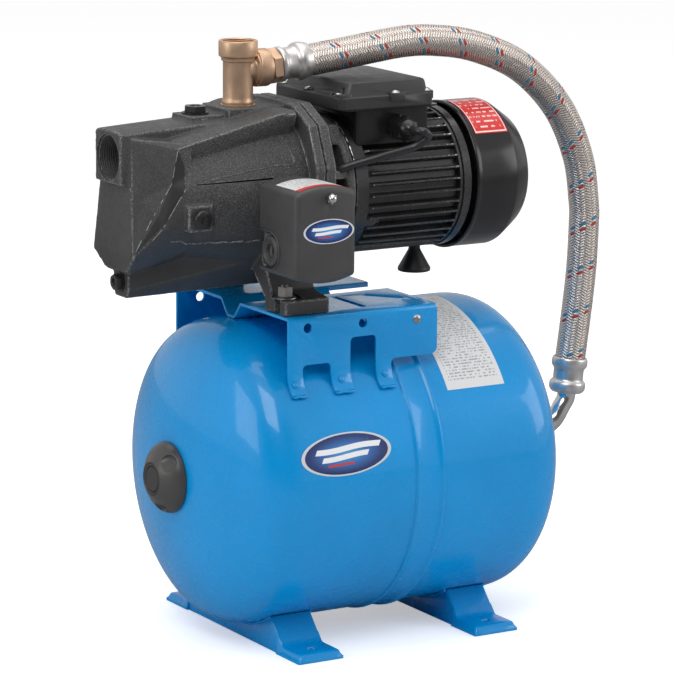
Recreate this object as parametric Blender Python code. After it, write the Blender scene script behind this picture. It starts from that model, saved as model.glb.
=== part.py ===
"""Shallow-well jet pump on a horizontal pressure tank, with flexible hose and pressure switch.

Frame: metres, +Z up.  The origin is on the floor, under the middle of the overall box.
The shapes below are drawn from the point on the floor under the middle of the tank; add() and
pivot() then move them by ORIGIN into the frame.
+X runs along the tank from its air-valve end to its water-port end, the pump's suction
port faces -X, and the pressure switch and the front skirt of the platform face -Y.
"""
import math

import bmesh
import bpy
from mathutils import Vector

for old in list(bpy.data.objects):
    bpy.data.objects.remove(old, do_unlink=True)

# ------------------------------------------------------------------ driving dimensions
ORIGIN = Vector((0.0184, -0.0063, 0.0))   # the frame's origin, seen from under the tank's middle
GAP = 0.0003             # clearance between pieces that meet
SHARP_ANGLE = 40         # edges that turn more than this many degrees are shaded sharp

X_AXIS, Y_AXIS, Z_AXIS = (1, 0, 0), (0, 1, 0), (0, 0, 1)
TO_SUCTION = (-1, 0, 0)
TO_FRONT = (0, -1, 0)

TANK_Z = 0.1586          # height of the tank axis
TANK_R = 0.145           # outside radius of the shell
TANK_MID = (0, 0, TANK_Z)

SHAFT_Z = 0.4232         # height of the pump and motor axis
SHAFT_MID = (0, 0, SHAFT_Z)
MOTOR_R = 0.0668         # over the fins

PLATFORM_Z = 0.321       # top face of the platform
PUMP_BOLT_X, PUMP_BOLT_Y = -0.1135, 0.083   # bolts of the pump's feet, one at each side

SUCTION_X = -0.2532      # face of the suction port
SUCTION_Z = 0.4642       # height of the suction port axis
SUCTION_R = 0.0205       # 1 1/4 inch thread, root radius
TEE_X = -0.117           # discharge tee axis
PRIMING_X, PRIMING_PAD_Z = -0.162, 0.4985   # priming plug axis and the pad under it
DRAIN_Z = 0.3487         # height of the drain bore
KEEL_X = -0.2395         # suction end of the casing's keel, where the drain plug sits
SIDE_X, SIDE_Z = -0.1915, 0.4123            # axis of the plugged boss on the front side
SIDE_BOSS_Y = -0.0680
SWITCH_X = -0.1112       # middle of the pressure switch
SWITCH_PORT_Z = 0.405    # height of the casing port that feeds it


# ------------------------------------------------------------------ materials
def material(name, rgb, roughness, metallic):
    mat = bpy.data.materials.new(name)
    mat.use_nodes = True
    shader = mat.node_tree.nodes["Principled BSDF"]
    shader.inputs["Base Color"].default_value = (*rgb, 1.0)
    shader.inputs["Roughness"].default_value = roughness
    shader.inputs["Metallic"].default_value = metallic
    mat.diffuse_color = (*rgb, 1.0)
    return mat


BLUE = material("blue_enamel", rgb=(0.0, 0.29, 0.67), roughness=0.25, metallic=0.0)
IRON = material("black_cast_iron", rgb=(0.035, 0.035, 0.036), roughness=0.55, metallic=0.3)
BLACK = material("black_paint", rgb=(0.018, 0.018, 0.02), roughness=0.35, metallic=0.2)
COVER = material("grey_black_plastic", rgb=(0.045, 0.045, 0.047), roughness=0.5, metallic=0.0)
RUBBER = material("rubber", rgb=(0.02, 0.02, 0.02), roughness=0.8, metallic=0.0)
BRASS = material("brass", rgb=(0.55, 0.33, 0.17), roughness=0.4, metallic=1.0)
STEEL = material("steel", rgb=(0.55, 0.55, 0.55), roughness=0.35, metallic=1.0)
BRAID = material("stainless_braid", rgb=(0.6, 0.56, 0.52), roughness=0.4, metallic=0.9)
CHROME = material("chrome", rgb=(0.75, 0.75, 0.75), roughness=0.12, metallic=1.0)
COPPER = material("copper_winding", rgb=(0.5, 0.2, 0.08), roughness=0.45, metallic=0.8)
PLASTIC = material("white_plastic", rgb=(0.7, 0.7, 0.66), roughness=0.5, metallic=0.0)
CARBON = material("carbon_graphite", rgb=(0.05, 0.05, 0.05), roughness=0.4, metallic=0.1)
CERAMIC = material("ceramic", rgb=(0.8, 0.78, 0.72), roughness=0.3, metallic=0.0)


# ------------------------------------------------------------------ outlines
def mirrored(points):
    """The (y, z) points on the other side of y = 0, in reverse, to close a symmetric outline."""
    return [(-y, z) for y, z in reversed(points)]


def hex_radius(across_flats):
    return across_flats / 2 / math.cos(math.pi / 6)


def hexagon(across_flats, cx, cy):
    r = hex_radius(across_flats)
    return [(cx + r * math.cos(2 * math.pi * k / 6), cy + r * math.sin(2 * math.pi * k / 6))
            for k in range(6)]


def offset_profile(points, distance):
    """Moves an open outline sideways, mitred at its corners."""
    out = []
    last = len(points) - 1
    for i, point in enumerate(points):
        here = Vector(point)
        before = Vector(points[max(i - 1, 0)])
        after = Vector(points[min(i + 1, last)])
        way_in = (here - before).normalized() if i else (after - here).normalized()
        way_out = (after - here).normalized() if i < last else way_in
        normal_in = Vector((way_in.y, -way_in.x))
        normal_out = Vector((way_out.y, -way_out.x))
        mitre = (normal_in + normal_out).normalized()
        out.append(tuple(here + mitre * (distance / max(0.5, mitre.dot(normal_in)))))
    return out


def smooth_path(points, step):
    """Catmull-Rom curve through the points, sampled about every step."""
    pts = [Vector(p) for p in points]
    pts = [pts[0] * 2 - pts[1]] + pts + [pts[-1] * 2 - pts[-2]]
    out = []
    for i in range(1, len(pts) - 2):
        p0, p1, p2, p3 = pts[i - 1:i + 3]
        n = max(1, round((p2 - p1).length / step))
        for k in range(n):
            t = k / n
            out.append(0.5 * ((2 * p1) + (p2 - p0) * t + (2 * p0 - 5 * p1 + 4 * p2 - p3) * t * t
                              + (3 * p1 - p0 - 3 * p2 + p3) * t ** 3))
    out.append(pts[-2])
    return out


# ------------------------------------------------------------------ solids
def basis(direction):
    """The unit direction and two unit vectors square to it."""
    axis = Vector(direction).normalized()
    ref = Vector(Z_AXIS) if abs(axis.z) < 0.9 else Vector(X_AXIS)
    u = (ref - axis * ref.dot(axis)).normalized()
    return axis, u, axis.cross(u)


def grid_faces(bm, rings, closed=False):
    """Skins a run of closed rings; closed also joins the last ring to the first."""
    n, m = len(rings), len(rings[0])
    for i in range(n if closed else n - 1):
        a, b = rings[i], rings[(i + 1) % n]
        for j in range(m):
            k = (j + 1) % m
            corners = []
            for v in (a[j], a[k], b[k], b[j]):
                if v not in corners:      # a pole repeats one vertex all the way round
                    corners.append(v)
            if len(corners) > 2:
                bm.faces.new(corners)


def turned(profile, origin, direction=X_AXIS, seg=24):
    """Solid of revolution.  profile holds (distance along the axis from origin, radius).

    A profile that starts and ends on the axis is a solid; one that never touches it is
    closed on itself into a ring.
    """
    axis, u, v = basis(direction)
    centre = Vector(origin)
    bm = bmesh.new()
    rings = []
    for a, r in profile:
        if r < 1e-9:
            rings.append([bm.verts.new(centre + axis * a)] * seg)
        else:
            rings.append([bm.verts.new(centre + axis * a + (u * math.cos(t) + v * math.sin(t)) * r)
                          for t in (2 * math.pi * k / seg for k in range(seg))])
    grid_faces(bm, rings, closed=all(r > 1e-9 for _, r in profile))
    return bm


def rod(start, end, radius, origin, direction=X_AXIS, seg=24):
    """Cylinder from start to end along the axis; with seg=6 a hexagonal bar."""
    return turned([(start, 0), (start, radius), (end, radius), (end, 0)], origin, direction, seg)


def tube(start, end, bore, radius, origin, direction=X_AXIS, seg=24):
    return turned([(start, bore), (start, radius), (end, radius), (end, bore)],
                  origin, direction, seg)


def prism(poly, axis, a0, a1):
    """Straight prism.  poly is in (y,z) for axis X and in (x,y) for axis Z."""
    def put(p, a):
        return (a, p[0], p[1]) if axis == "X" else (p[0], p[1], a)
    return loft([[put(p, a) for p in poly] for a in (a0, a1)])


def block(x_range, y_range, z_range):
    x0, x1 = x_range
    y0, y1 = sorted(y_range)
    x0, x1 = sorted((x0, x1))
    return prism([(x0, y0), (x1, y0), (x1, y1), (x0, y1)], "Z", *z_range)


def loft(rings):
    """Solid skinned over the rings of points, with flat ends."""
    bm = bmesh.new()
    verts = [[bm.verts.new(p) for p in ring] for ring in rings]
    grid_faces(bm, verts)
    bm.faces.new(verts[0])
    bm.faces.new(list(reversed(verts[-1])))
    bmesh.ops.recalc_face_normals(bm, faces=bm.faces)
    return bm


def cup(outer, inner):
    """Open shell: outer and inner rings run from the mouth to the closed end."""
    bm = bmesh.new()
    outside = [[bm.verts.new(p) for p in ring] for ring in outer]
    inside = [[bm.verts.new(p) for p in ring] for ring in inner]
    grid_faces(bm, outside)
    grid_faces(bm, inside)
    grid_faces(bm, [outside[0], inside[0]])
    bm.faces.new(outside[-1])
    bm.faces.new(inside[-1])
    bmesh.ops.recalc_face_normals(bm, faces=bm.faces)
    return bm


def swept(path, radius, seg=12, bore=0.0):
    """Round bar or pipe along a path.  radius is one number, or one for each point."""
    path = [Vector(p) for p in path]
    n = len(path)
    radii = radius if isinstance(radius, list) else [radius] * n
    tangents = [(path[min(i + 1, n - 1)] - path[max(i - 1, 0)]).normalized() for i in range(n)]
    _, u, _ = basis(tangents[0])
    bm = bmesh.new()
    outer, inner = [], []
    for point, tangent, outer_r in zip(path, tangents, radii):
        u = (u - tangent * u.dot(tangent)).normalized()
        v = tangent.cross(u)
        for rings, r in ((outer, outer_r), (inner, bore)):
            if r > 0:
                rings.append([bm.verts.new(point + (u * math.cos(a) + v * math.sin(a)) * r)
                              for a in (2 * math.pi * k / seg for k in range(seg))])
    if bore:
        grid_faces(bm, outer + inner[::-1], closed=True)
    else:
        grid_faces(bm, outer)
        bm.faces.new(outer[0])
        bm.faces.new(list(reversed(outer[-1])))
    bmesh.ops.recalc_face_normals(bm, faces=bm.faces)
    return bm


def sheet(face_a, face_b, keep, wrap=False):
    """Thick sheet between two matching point grids, without the cells where keep(i, j) is false."""
    n, m = len(face_a), len(face_a[0])
    faces = (face_a, face_b)
    bm = bmesh.new()
    made = {}

    def vert(side, i, j):
        key = (side, i % n, j)
        if key not in made:
            made[key] = bm.verts.new(faces[side][i % n][j])
        return made[key]

    rim = {}                 # cell edges met only once, in the order they were met
    for i in range(n if wrap else n - 1):
        for j in range(m - 1):
            if not keep(i, j):
                continue
            loop = [(i, j), (i + 1, j), (i + 1, j + 1), (i, j + 1)]
            bm.faces.new([vert(0, *p) for p in loop])
            bm.faces.new([vert(1, *p) for p in reversed(loop)])
            for a, b in zip(loop, loop[1:] + loop[:1]):
                a, b = (a[0] % n, a[1]), (b[0] % n, b[1])
                if (b, a) in rim:
                    del rim[(b, a)]
                else:
                    rim[(a, b)] = True
    for a, b in rim:
        bm.faces.new([vert(0, *b), vert(0, *a), vert(1, *a), vert(1, *b)])
    bmesh.ops.recalc_face_normals(bm, faces=bm.faces)
    return bm


def temp_object(bm):
    mesh = bpy.data.meshes.new("tool")
    bmesh.ops.recalc_face_normals(bm, faces=bm.faces)
    bm.to_mesh(mesh)
    ob = bpy.data.objects.new("tool", mesh)
    bpy.context.scene.collection.objects.link(ob)
    return ob


def combine(base, joined=(), cut=()):
    """Adds the joined shapes to base, then takes the cut shapes away, by exact Booleans."""
    out = base
    steps = [("UNION", tool) for tool in joined] + [("DIFFERENCE", tool) for tool in cut]
    for operation, tool in steps:
        body, helper = temp_object(out), temp_object(tool)
        helper.hide_render = True
        mod = body.modifiers.new("cut", "BOOLEAN")
        mod.operation = operation
        mod.solver = "EXACT"
        mod.object = helper
        bpy.context.view_layer.update()
        evaluated = body.evaluated_get(bpy.context.evaluated_depsgraph_get())
        out = bmesh.new()
        out.from_mesh(bpy.data.meshes.new_from_object(evaluated))
        bmesh.ops.remove_doubles(out, verts=out.verts, dist=1e-6)
        bmesh.ops.dissolve_degenerate(out, edges=out.edges, dist=1e-6)
        for ob in (body, helper):
            bpy.data.objects.remove(ob, do_unlink=True)
    return out


# ------------------------------------------------------------------ placing
def add(name, bm, mat, origin, parent=None):
    """Makes the named piece with its own origin, keeping the shape where it was drawn."""
    origin = Vector(origin)
    bmesh.ops.recalc_face_normals(bm, faces=bm.faces)
    bmesh.ops.translate(bm, verts=bm.verts, vec=-origin)
    mesh = bpy.data.meshes.new(name)
    bm.to_mesh(mesh)
    bm.free()
    mesh.materials.append(mat)
    mesh.shade_smooth()
    mesh.set_sharp_from_angle(angle=math.radians(SHARP_ANGLE))
    ob = bpy.data.objects.new(name, mesh)
    bpy.context.scene.collection.objects.link(ob)
    ob.location = origin - ORIGIN
    if parent is not None:
        ob.parent = parent
        ob.location -= parent.location


def pivot(name, where):
    empty = bpy.data.objects.new(name, None)
    empty.location = Vector(where) - ORIGIN
    bpy.context.scene.collection.objects.link(empty)
    return empty


def on_shaft(x):
    return (x, 0, SHAFT_Z)


# ------------------------------------------------------------------ tank
TANK_HALF = 0.116        # half length of the straight part
DOME = 0.0642            # depth of each dished end
DOME_N = 3.0             # exponent of the dished end's super-ellipse
DOME_ANGLES = (0, 18, 36, 54, 72, 84)   # degrees, from the straight part towards the middle
CROWN = 0.0096           # how far the middle of each end swells past the super-ellipse
CROWN_R = 0.125          # radius out to which it swells
TANK_END = TANK_HALF + DOME + CROWN
SHELL_T = 0.002          # shell thickness
SEAM_X = 0.009           # where the two half shells meet
TANK_SEG = 28
STEM_HOLE_R = 0.0066     # hole for the air-valve stem
PORT_R = 0.0166          # outside of the water-port socket
PORT_CLEAR_R = 0.0171    # holes that clear the socket


def dome(shrink):
    """(distance past the straight part, radius) of a dished end, short of its middle."""
    points = []
    for degrees in DOME_ANGLES:
        t = math.radians(degrees)
        depth = (DOME - shrink) * math.sin(t) ** (2 / DOME_N)
        radius = (TANK_R - shrink) * math.cos(t) ** (2 / DOME_N)
        swell = CROWN * max(0.0, 1 - (radius / CROWN_R) ** 2) ** 2
        points.append((depth + swell, radius))
    return points


def half_shell(side, seam, hole):
    def wall(shrink):
        return ([(seam, TANK_R - shrink)]
                + [(side * (TANK_HALF + a), r) for a, r in dome(shrink)]
                + [(side * (TANK_END - shrink), hole)])
    return turned(wall(0.0) + wall(SHELL_T)[::-1], TANK_MID, seg=TANK_SEG)


add("tank_shell_left", half_shell(-1, SEAM_X - GAP, STEM_HOLE_R), BLUE, TANK_MID)
add("tank_shell_right", half_shell(1, SEAM_X + GAP, PORT_CLEAR_R), BLUE, TANK_MID)
add("tank_seam_band", turned([
    (-0.006, 0.1453), (-0.006, 0.1472), (-0.003, 0.1464), (0.019, 0.1464),
    (0.0215, 0.1478), (0.0235, 0.1472), (0.0235, 0.1453)], TANK_MID, seg=TANK_SEG), BLUE, TANK_MID)
add("tank_diaphragm", turned([
    (0.075, 0), (0.073, 0.045), (0.062, 0.085), (0.045, 0.115), (0.020, 0.136), (0.014, 0.1424),
    (0.004, 0.1424), (0.004, 0.136), (0.018, 0.1335), (0.043, 0.1125), (0.060, 0.083),
    (0.0706, 0.044), (0.0725, 0)], TANK_MID, seg=TANK_SEG // 2), RUBBER, TANK_MID)
add("water_port_socket", turned([
    (0.180, 0.0125), (0.180, PORT_R), (0.1902, PORT_R), (0.1902, 0.024), (0.1942, 0.024),
    (0.1942, PORT_R), (0.2085, PORT_R), (0.2085, 0.0125)], TANK_MID, seg=14), STEEL, TANK_MID)
add("air_valve_stem", turned([
    (-0.180, 0.0013), (-0.180, 0.0062), (-0.1902, 0.0062), (-0.1902, 0.0105), (-0.1936, 0.0105),
    (-0.1944, 0.0042), (-0.202, 0.0042), (-0.202, 0.0013)], TANK_MID, seg=12), BRASS, TANK_MID)

# ------------------------------------------------------------------ air valve
VALVE_PIN_X = -0.2018
# dished cap, its distances measured towards -X
add("valve_cap", turned([
    (0.2050, 0), (0.2050, 0.0150), (0.2020, 0.0205), (0.1985, 0.0255), (0.1945, 0.0290),
    (0.1886, 0.0310), (0.1886, 0.0335), (0.1915, 0.0335), (0.1960, 0.0318), (0.2010, 0.0275),
    (0.2050, 0.0210), (0.2080, 0.0165), (0.2080, 0)], TANK_MID, TO_SUCTION, 18),
    COVER, (-0.1886, 0, TANK_Z))
add("valve_pin", rod(VALVE_PIN_X, -0.1840, 0.0008, TANK_MID, seg=8), BRASS,
    (VALVE_PIN_X, 0, TANK_Z))

# ------------------------------------------------------------------ feet
FOOT_WALL = 0.0025       # end walls, left and right of the pocket
FOOT_PAD_Z = 0.0078
FOOT_HOLE_Y = 0.110
SADDLE_R = TANK_R + GAP + 0.0007
SADDLE_HALF = 0.0722     # half width of the saddle
SADDLE_STEPS = 8
POCKET_SCALE, POCKET_DROP = 0.93, 0.0028   # the pocket's roof against the saddle


def foot(name, x0, x1):
    """Saddle under the tank, hollow from below, with a hole in each pad."""
    saddle = []
    for k in range(SADDLE_STEPS + 1):
        y = -SADDLE_HALF + 2 * SADDLE_HALF * k / SADDLE_STEPS
        saddle.append((y, TANK_Z - math.sqrt(SADDLE_R * SADDLE_R - y * y)))
    pad = [(-0.129, 0), (-0.129, 0.0025), (-0.125, FOOT_PAD_Z), (-0.094, FOOT_PAD_Z + 0.0007)]
    side = [(-0.086, -0.005), (-0.086, 0.0055), (-0.071, 0.026)]
    roof = [(y * POCKET_SCALE, z - POCKET_DROP) for y, z in saddle[1:-1]]
    pocket = prism(side + roof + mirrored(side), "X", x0 + FOOT_WALL, x1 - FOOT_WALL)
    middle = (x0 + x1) / 2
    holes = [rod(-0.004, 0.012, 0.004, (middle, s * FOOT_HOLE_Y, 0), Z_AXIS, 8) for s in (-1, 1)]
    body = prism(pad + saddle + mirrored(pad), "X", x0, x1)
    add(name, combine(body, cut=[pocket, *holes]), BLUE, (middle, 0, 0))


foot("foot_left", -0.1232, -0.0745)
foot("foot_right", 0.0705, 0.1190)

# ------------------------------------------------------------------ platform bracket
PLATFORM_Y = 0.107       # outside of the skirts
SHEET_T = 0.0025
SKIRT_HOLE_R = 0.0045
# columns of the sheet's cells along x; the notches between the legs fall on these lines
PLATFORM_XS = [-0.1238, -0.1085, -0.0785, -0.0578, -0.0300, -0.0135, -0.0085, 0.0300, 0.0365]
# (y, z) on the outer face, from the front leg tip to beside the bottom of the trough
SKIRT_HALF = [
    (-0.1158, 0.2514), (-PLATFORM_Y, 0.2625), (-PLATFORM_Y, 0.2738), (-PLATFORM_Y, 0.2965),
    (-PLATFORM_Y, PLATFORM_Z - 0.003), (-PLATFORM_Y + 0.003, PLATFORM_Z), (-0.062, PLATFORM_Z),
    (-0.0170, PLATFORM_Z), (-0.0045, 0.3066)]


def platform():
    """Folded sheet with skirts and legs at front and back and a trough along the middle."""
    outer = SKIRT_HALF + mirrored(SKIRT_HALF)
    inner = offset_profile(outer, SHEET_T)

    def keep(column, row):
        row = min(row, len(outer) - 2 - row)
        if row <= 1:                     # leg tips and the legs above them
            return column in (0, 2, 4)
        if row == 2:                     # between the short and the tall notch
            return column != 3
        if row in (6, 7):                # the trough stops short of the tank's seam band
            return column < 6
        if row == 8:                     # bottom of the trough
            return column < 6
        return True

    body = sheet([[(x, y, z) for y, z in outer] for x in PLATFORM_XS],
                 [[(x, y, z) for y, z in inner] for x in PLATFORM_XS], keep)
    cuts = [rod(-0.12, -0.095, SKIRT_HOLE_R, (x, 0, z), Y_AXIS, 8)
            for x, z in ((-0.1033, 0.3108), (-0.0445, 0.3102))]
    cuts.append(rod(0.095, 0.12, SKIRT_HOLE_R, (-0.0985, 0, 0.3040), Y_AXIS, 8))
    for s in (-1, 1):
        # a bolt hole and a slot across the top, at each side of the trough
        cuts.append(rod(0.310, 0.33, 0.005, (PUMP_BOLT_X, s * PUMP_BOLT_Y, 0), Z_AXIS, 8))
        cuts.append(block((-0.035, -0.029), (s * 0.035, s * 0.085), (0.31, 0.33)))
    return combine(body, cut=cuts)


add("platform_bracket", platform(), BLUE, (-0.045, 0, PLATFORM_Z))

# ------------------------------------------------------------------ pump casing
SUCTION_AXIS = (0, 0, SUCTION_Z)
DRAIN_AXIS = (0, 0, DRAIN_Z)
TEE_AXIS = (TEE_X, 0, 0)
PRIMING_AXIS = (PRIMING_X, 0, 0)
SIDE_AXIS = (SIDE_X, 0, SIDE_Z)
SWITCH_AXIS = (SWITCH_X, 0, SWITCH_PORT_Z)
PUMP_SLOT_HALF = 0.0048  # half width of the open slots for the foot bolts

# (y, height above the shaft) of half the flange shared by the casing and the motor bracket
FLANGE_HALF = [(0.038, 0.0840), (0.070, 0.0675), (0.086, 0.030),
               (0.086, -0.030), (0.070, -0.0675), (0.038, -0.0840)]
FLANGE = [(y, SHAFT_Z + z) for y, z in FLANGE_HALF + mirrored(FLANGE_HALF)]


def suction_channel():
    """Box along the top, its section growing from the suction face to the flange."""
    face = [(-0.0245, 0.441), (0.0245, 0.441), (0.0245, 0.4885), (0.012, 0.4900),
            (-0.012, 0.4900), (-0.0245, 0.4885)]
    root = [(-0.0305, 0.430), (0.0305, 0.430), (0.0305, 0.4965), (0.016, 0.4985),
            (-0.016, 0.4985), (-0.0305, 0.4965)]
    return loft([[(SUCTION_X, y, z) for y, z in face], [(-0.086, y, z) for y, z in root]])


def nose_wedge():
    """Sloping block between the suction face and the bell."""
    nose = [(-0.2425, 0.0285, 0.4415), (-0.2475, 0.0385, 0.3745), (-0.2450, 0.0210, 0.3600)]
    root = [(-0.185, 0.0520, 0.4600), (-0.185, 0.0580, 0.3900), (-0.185, 0.0360, 0.3520)]
    return loft([half + [(x, -y, z) for x, y, z in reversed(half)] for half in (nose, root)])


def keel():
    nose = [(-0.0110, 0.3350), (0.0110, 0.3350), (0.0145, 0.3700), (-0.0145, 0.3700)]
    root = [(-0.0240, 0.3395), (0.0240, 0.3395), (0.0520, 0.3740), (-0.0520, 0.3740)]
    return loft([[(KEEL_X, y, z) for y, z in nose], [(-0.085, y, z) for y, z in root]])


def casing_leg(side):
    sole = PLATFORM_Z + GAP
    outline = [(0.020, 0.376), (0.034, 0.3580), (0.059, 0.3340), (0.059, sole),
               (0.0985, sole), (0.0985, 0.3352), (0.072, 0.3400), (0.052, 0.376)]
    return prism([(side * y, z) for y, z in outline], "X", -0.1217, -0.0757)


def casing():
    bell = turned([(-0.205, 0), (-0.205, 0.050), (-0.196, 0.058), (-0.150, 0.0675),
                   (-0.100, 0.0775), (-0.080, 0.0785), (-0.080, 0)], SHAFT_MID)
    joined = [
        suction_channel(),
        block((-0.141, -0.0795), (-0.0256, 0.0256), (0.470, 0.5044)),          # tee pad
        block((-0.1762, -0.139), (-0.0187, 0.0187), (0.470, PRIMING_PAD_Z)),
        nose_wedge(),
        keel(),
        prism(FLANGE, "X", -0.0825, -0.0727),
        casing_leg(-1),
        casing_leg(1),
        rod(-0.0772, -0.055, 0.0115, SWITCH_AXIS, Y_AXIS, 12),                 # switch boss
        rod(SIDE_BOSS_Y, -0.035, 0.0125, SIDE_AXIS, Y_AXIS, 12),               # side boss
    ]
    chamber = turned([(-0.236, 0), (-0.236, 0.030), (-0.137, 0.030), (-0.133, 0.050),
                      (-0.116, 0.0645), (-0.060, 0.0645), (-0.060, 0)], SHAFT_MID, seg=20)
    cuts = [
        chamber,
        rod(-0.27, -0.207, SUCTION_R, SUCTION_AXIS, seg=20),
        block((-0.2325, -0.2100), (-0.014, 0.014), (0.432, 0.462)),   # suction bore to chamber
        rod(0.455, 0.52, 0.0168, TEE_AXIS, Z_AXIS, 16),
        rod(0.440, 0.52, 0.0098, PRIMING_AXIS, Z_AXIS, 10),
        rod(-0.27, -0.125, 0.0062, DRAIN_AXIS, seg=10),
        rod(DRAIN_Z, 0.385, 0.0040, (-0.130, 0, 0), Z_AXIS, 10),      # chamber to drain bore
        rod(-0.09, -0.020, 0.0062, SIDE_AXIS, Y_AXIS, 10),
        rod(-0.09, -0.055, 0.0042, SWITCH_AXIS, Y_AXIS, 10),
    ]
    for s in (-1, 1):
        # a pocket for the bolt head over an open slot in each foot
        slot = (s * (PUMP_BOLT_Y - PUMP_SLOT_HALF), s * (PUMP_BOLT_Y + PUMP_SLOT_HALF))
        cuts.append(block((-0.130, -0.1020), (s * 0.0700, s * 0.110), (0.3350, 0.3660)))
        cuts.append(block((-0.130, -0.1085), slot, (0.310, 0.340)))
    return combine(bell, joined, cuts)


add("pump_casing", casing(), IRON, on_shaft(TEE_X))

# ------------------------------------------------------------------ inside the pump
DIFFUSER_X, NOZZLE_X, VENTURI_X, SEAT_X = -0.131, -0.2355, -0.205, -0.0729
add("diffuser", turned([
    (DIFFUSER_X, 0.0165), (DIFFUSER_X, 0.046), (-0.117, 0.0600), (-0.1025, 0.0615),
    (-0.1025, 0.0575), (-0.1125, 0.055), (-0.1125, 0.0165)], SHAFT_MID, seg=16),
    PLASTIC, on_shaft(DIFFUSER_X))
add("jet_nozzle", turned([
    (NOZZLE_X, 0.0105), (NOZZLE_X, 0.0285), (-0.2320, 0.0285), (-0.2300, 0.0135),
    (-0.2120, 0.0075), (-0.2120, 0.0048), (-0.2280, 0.0105)], SHAFT_MID, seg=12),
    BRASS, on_shaft(NOZZLE_X))
add("venturi_tube", turned([
    (VENTURI_X, 0.0110), (VENTURI_X, 0.0130), (-0.190, 0.0085), (-0.150, 0.0155),
    (-0.139, 0.0155), (-0.139, 0.0280), (-0.1345, 0.0280), (-0.1345, 0.0135),
    (-0.150, 0.0130), (-0.190, 0.0058)], SHAFT_MID, seg=12),
    PLASTIC, on_shaft(VENTURI_X))
add("seal_seat", tube(SEAT_X, -0.0660, 0.0090, 0.0120, SHAFT_MID, seg=12), CERAMIC,
    on_shaft(SEAT_X))

# ------------------------------------------------------------------ motor bracket
BRACKET_X = -0.0717


def bracket():
    """Flange plate and motor ring, joined by a hub and by webs above and below it."""
    web = [(0.046, 0.046), (0.040, 0.060)]       # (y, distance from the shaft's height)
    roof = [(-0.046, 0.046)] + web + [(-0.040, 0.060)]
    floor = [(-0.040, -0.060), (0.040, -0.060), (0.046, -0.046), (-0.046, -0.046)]
    webs = [prism([(y, SHAFT_Z + z) for y, z in outline], "X", -0.064, -0.033)
            for outline in (roof, floor)]
    hub = rod(-0.0650, -0.0135, 0.0270, SHAFT_MID, seg=16)
    ring = turned([(-0.0370, 0), (-0.0370, 0.0665), (-0.0340, 0.0680), (-0.0290, 0.0680),
                   (-0.0290, 0)], SHAFT_MID)
    shaft_hole = rod(-0.08, -0.020, 0.0123, SHAFT_MID, seg=16)
    bearing_seat = turned([(-0.0268, 0), (-0.0268, 0.0203), (-0.010, 0.0204), (-0.010, 0)],
                          SHAFT_MID, seg=16)
    return combine(prism(FLANGE, "X", BRACKET_X, -0.0615), [hub, ring, *webs],
                   [shaft_hole, bearing_seat])


add("motor_bracket", bracket(), BLACK, on_shaft(BRACKET_X))

# ------------------------------------------------------------------ motor
FIN_COUNT = 36
FIN_ROOT_R = MOTOR_R - 0.006
# (fraction of the fin pitch, radius) round one fin and the groove after it
FIN = [(0.0, MOTOR_R), (0.16, MOTOR_R), (0.36, FIN_ROOT_R), (0.80, FIN_ROOT_R)]
MOTOR_BORE = 0.0515


def housing():
    outline = []
    for k in range(FIN_COUNT):
        for fraction, r in FIN:
            a = 2 * math.pi * k / FIN_COUNT + fraction * 2 * math.pi / FIN_COUNT
            outline.append((r * math.sin(a), SHAFT_Z + r * math.cos(a)))
    pump_end = rod(-0.0285, -0.0140, 0.0680, SHAFT_MID)
    fan_end = rod(0.0866, 0.0897, MOTOR_R - 0.001, SHAFT_MID)
    return combine(prism(outline, "X", -0.0144, 0.0870), [pump_end, fan_end],
                   [rod(-0.04, 0.10, MOTOR_BORE, SHAFT_MID)])


add("motor_housing", housing(), BLACK, SHAFT_MID)
add("stator_core", tube(-0.002, 0.058, 0.0336, 0.0511, SHAFT_MID), STEEL, SHAFT_MID)
add("stator_winding", turned([
    (-0.0128, 0.0322), (-0.0128, 0.0450), (-0.0060, 0.0475), (-0.0025, 0.0440),
    (-0.0025, 0.0332), (0.0585, 0.0332), (0.0585, 0.0440), (0.0640, 0.0475),
    (0.0700, 0.0450), (0.0700, 0.0322)], SHAFT_MID, seg=16), COPPER, SHAFT_MID)
add("rear_end_shield", turned([
    (0.0900, 0.0200), (0.0900, 0.0672), (0.0990, 0.0672), (0.0990, 0.0640), (0.0945, 0.0640),
    (0.0945, 0.0090), (0.0886, 0.0090), (0.0886, 0.0163), (0.0775, 0.0163), (0.0775, 0.0200)],
    SHAFT_MID, seg=20), BLACK, on_shaft(0.0900))

COWL_R = 0.0704
COWL_T = 0.0015
COWL_X = 0.1040
COWL_SEG = 24
# (x, radius) from the mouth to the end cap
COWL_OUTSIDE = [(COWL_X, COWL_R), (0.1480, COWL_R), (0.1600, 0.0628), (0.1705, 0.0555),
                (0.1730, 0.0470), (0.1735, 0.0330), (0.1735, 0.0190)]
COWL_INSIDE = [(COWL_X, COWL_R - COWL_T), (0.1475, COWL_R - COWL_T), (0.1592, 0.0614),
               (0.1692, 0.0545), (0.1715, 0.0465), (0.1720, 0.0330), (0.1720, 0.0190)]


def cowl():
    """Sheet cover with two rings of openings in its end, closed by a cap in the middle."""
    def face(profile):
        angles = [2 * math.pi * k / COWL_SEG for k in range(COWL_SEG)]
        return [[(x, r * math.sin(a), SHAFT_Z + r * math.cos(a)) for x, r in profile]
                for a in angles]
    grille = sheet(face(COWL_OUTSIDE), face(COWL_INSIDE),
                   lambda i, j: not (j in (4, 5) and i % 2), wrap=True)
    return combine(grille, [rod(0.1719, 0.1736, 0.0200, SHAFT_MID, seg=COWL_SEG)])


add("fan_cowl", cowl(), BLACK, on_shaft(COWL_X))

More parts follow.
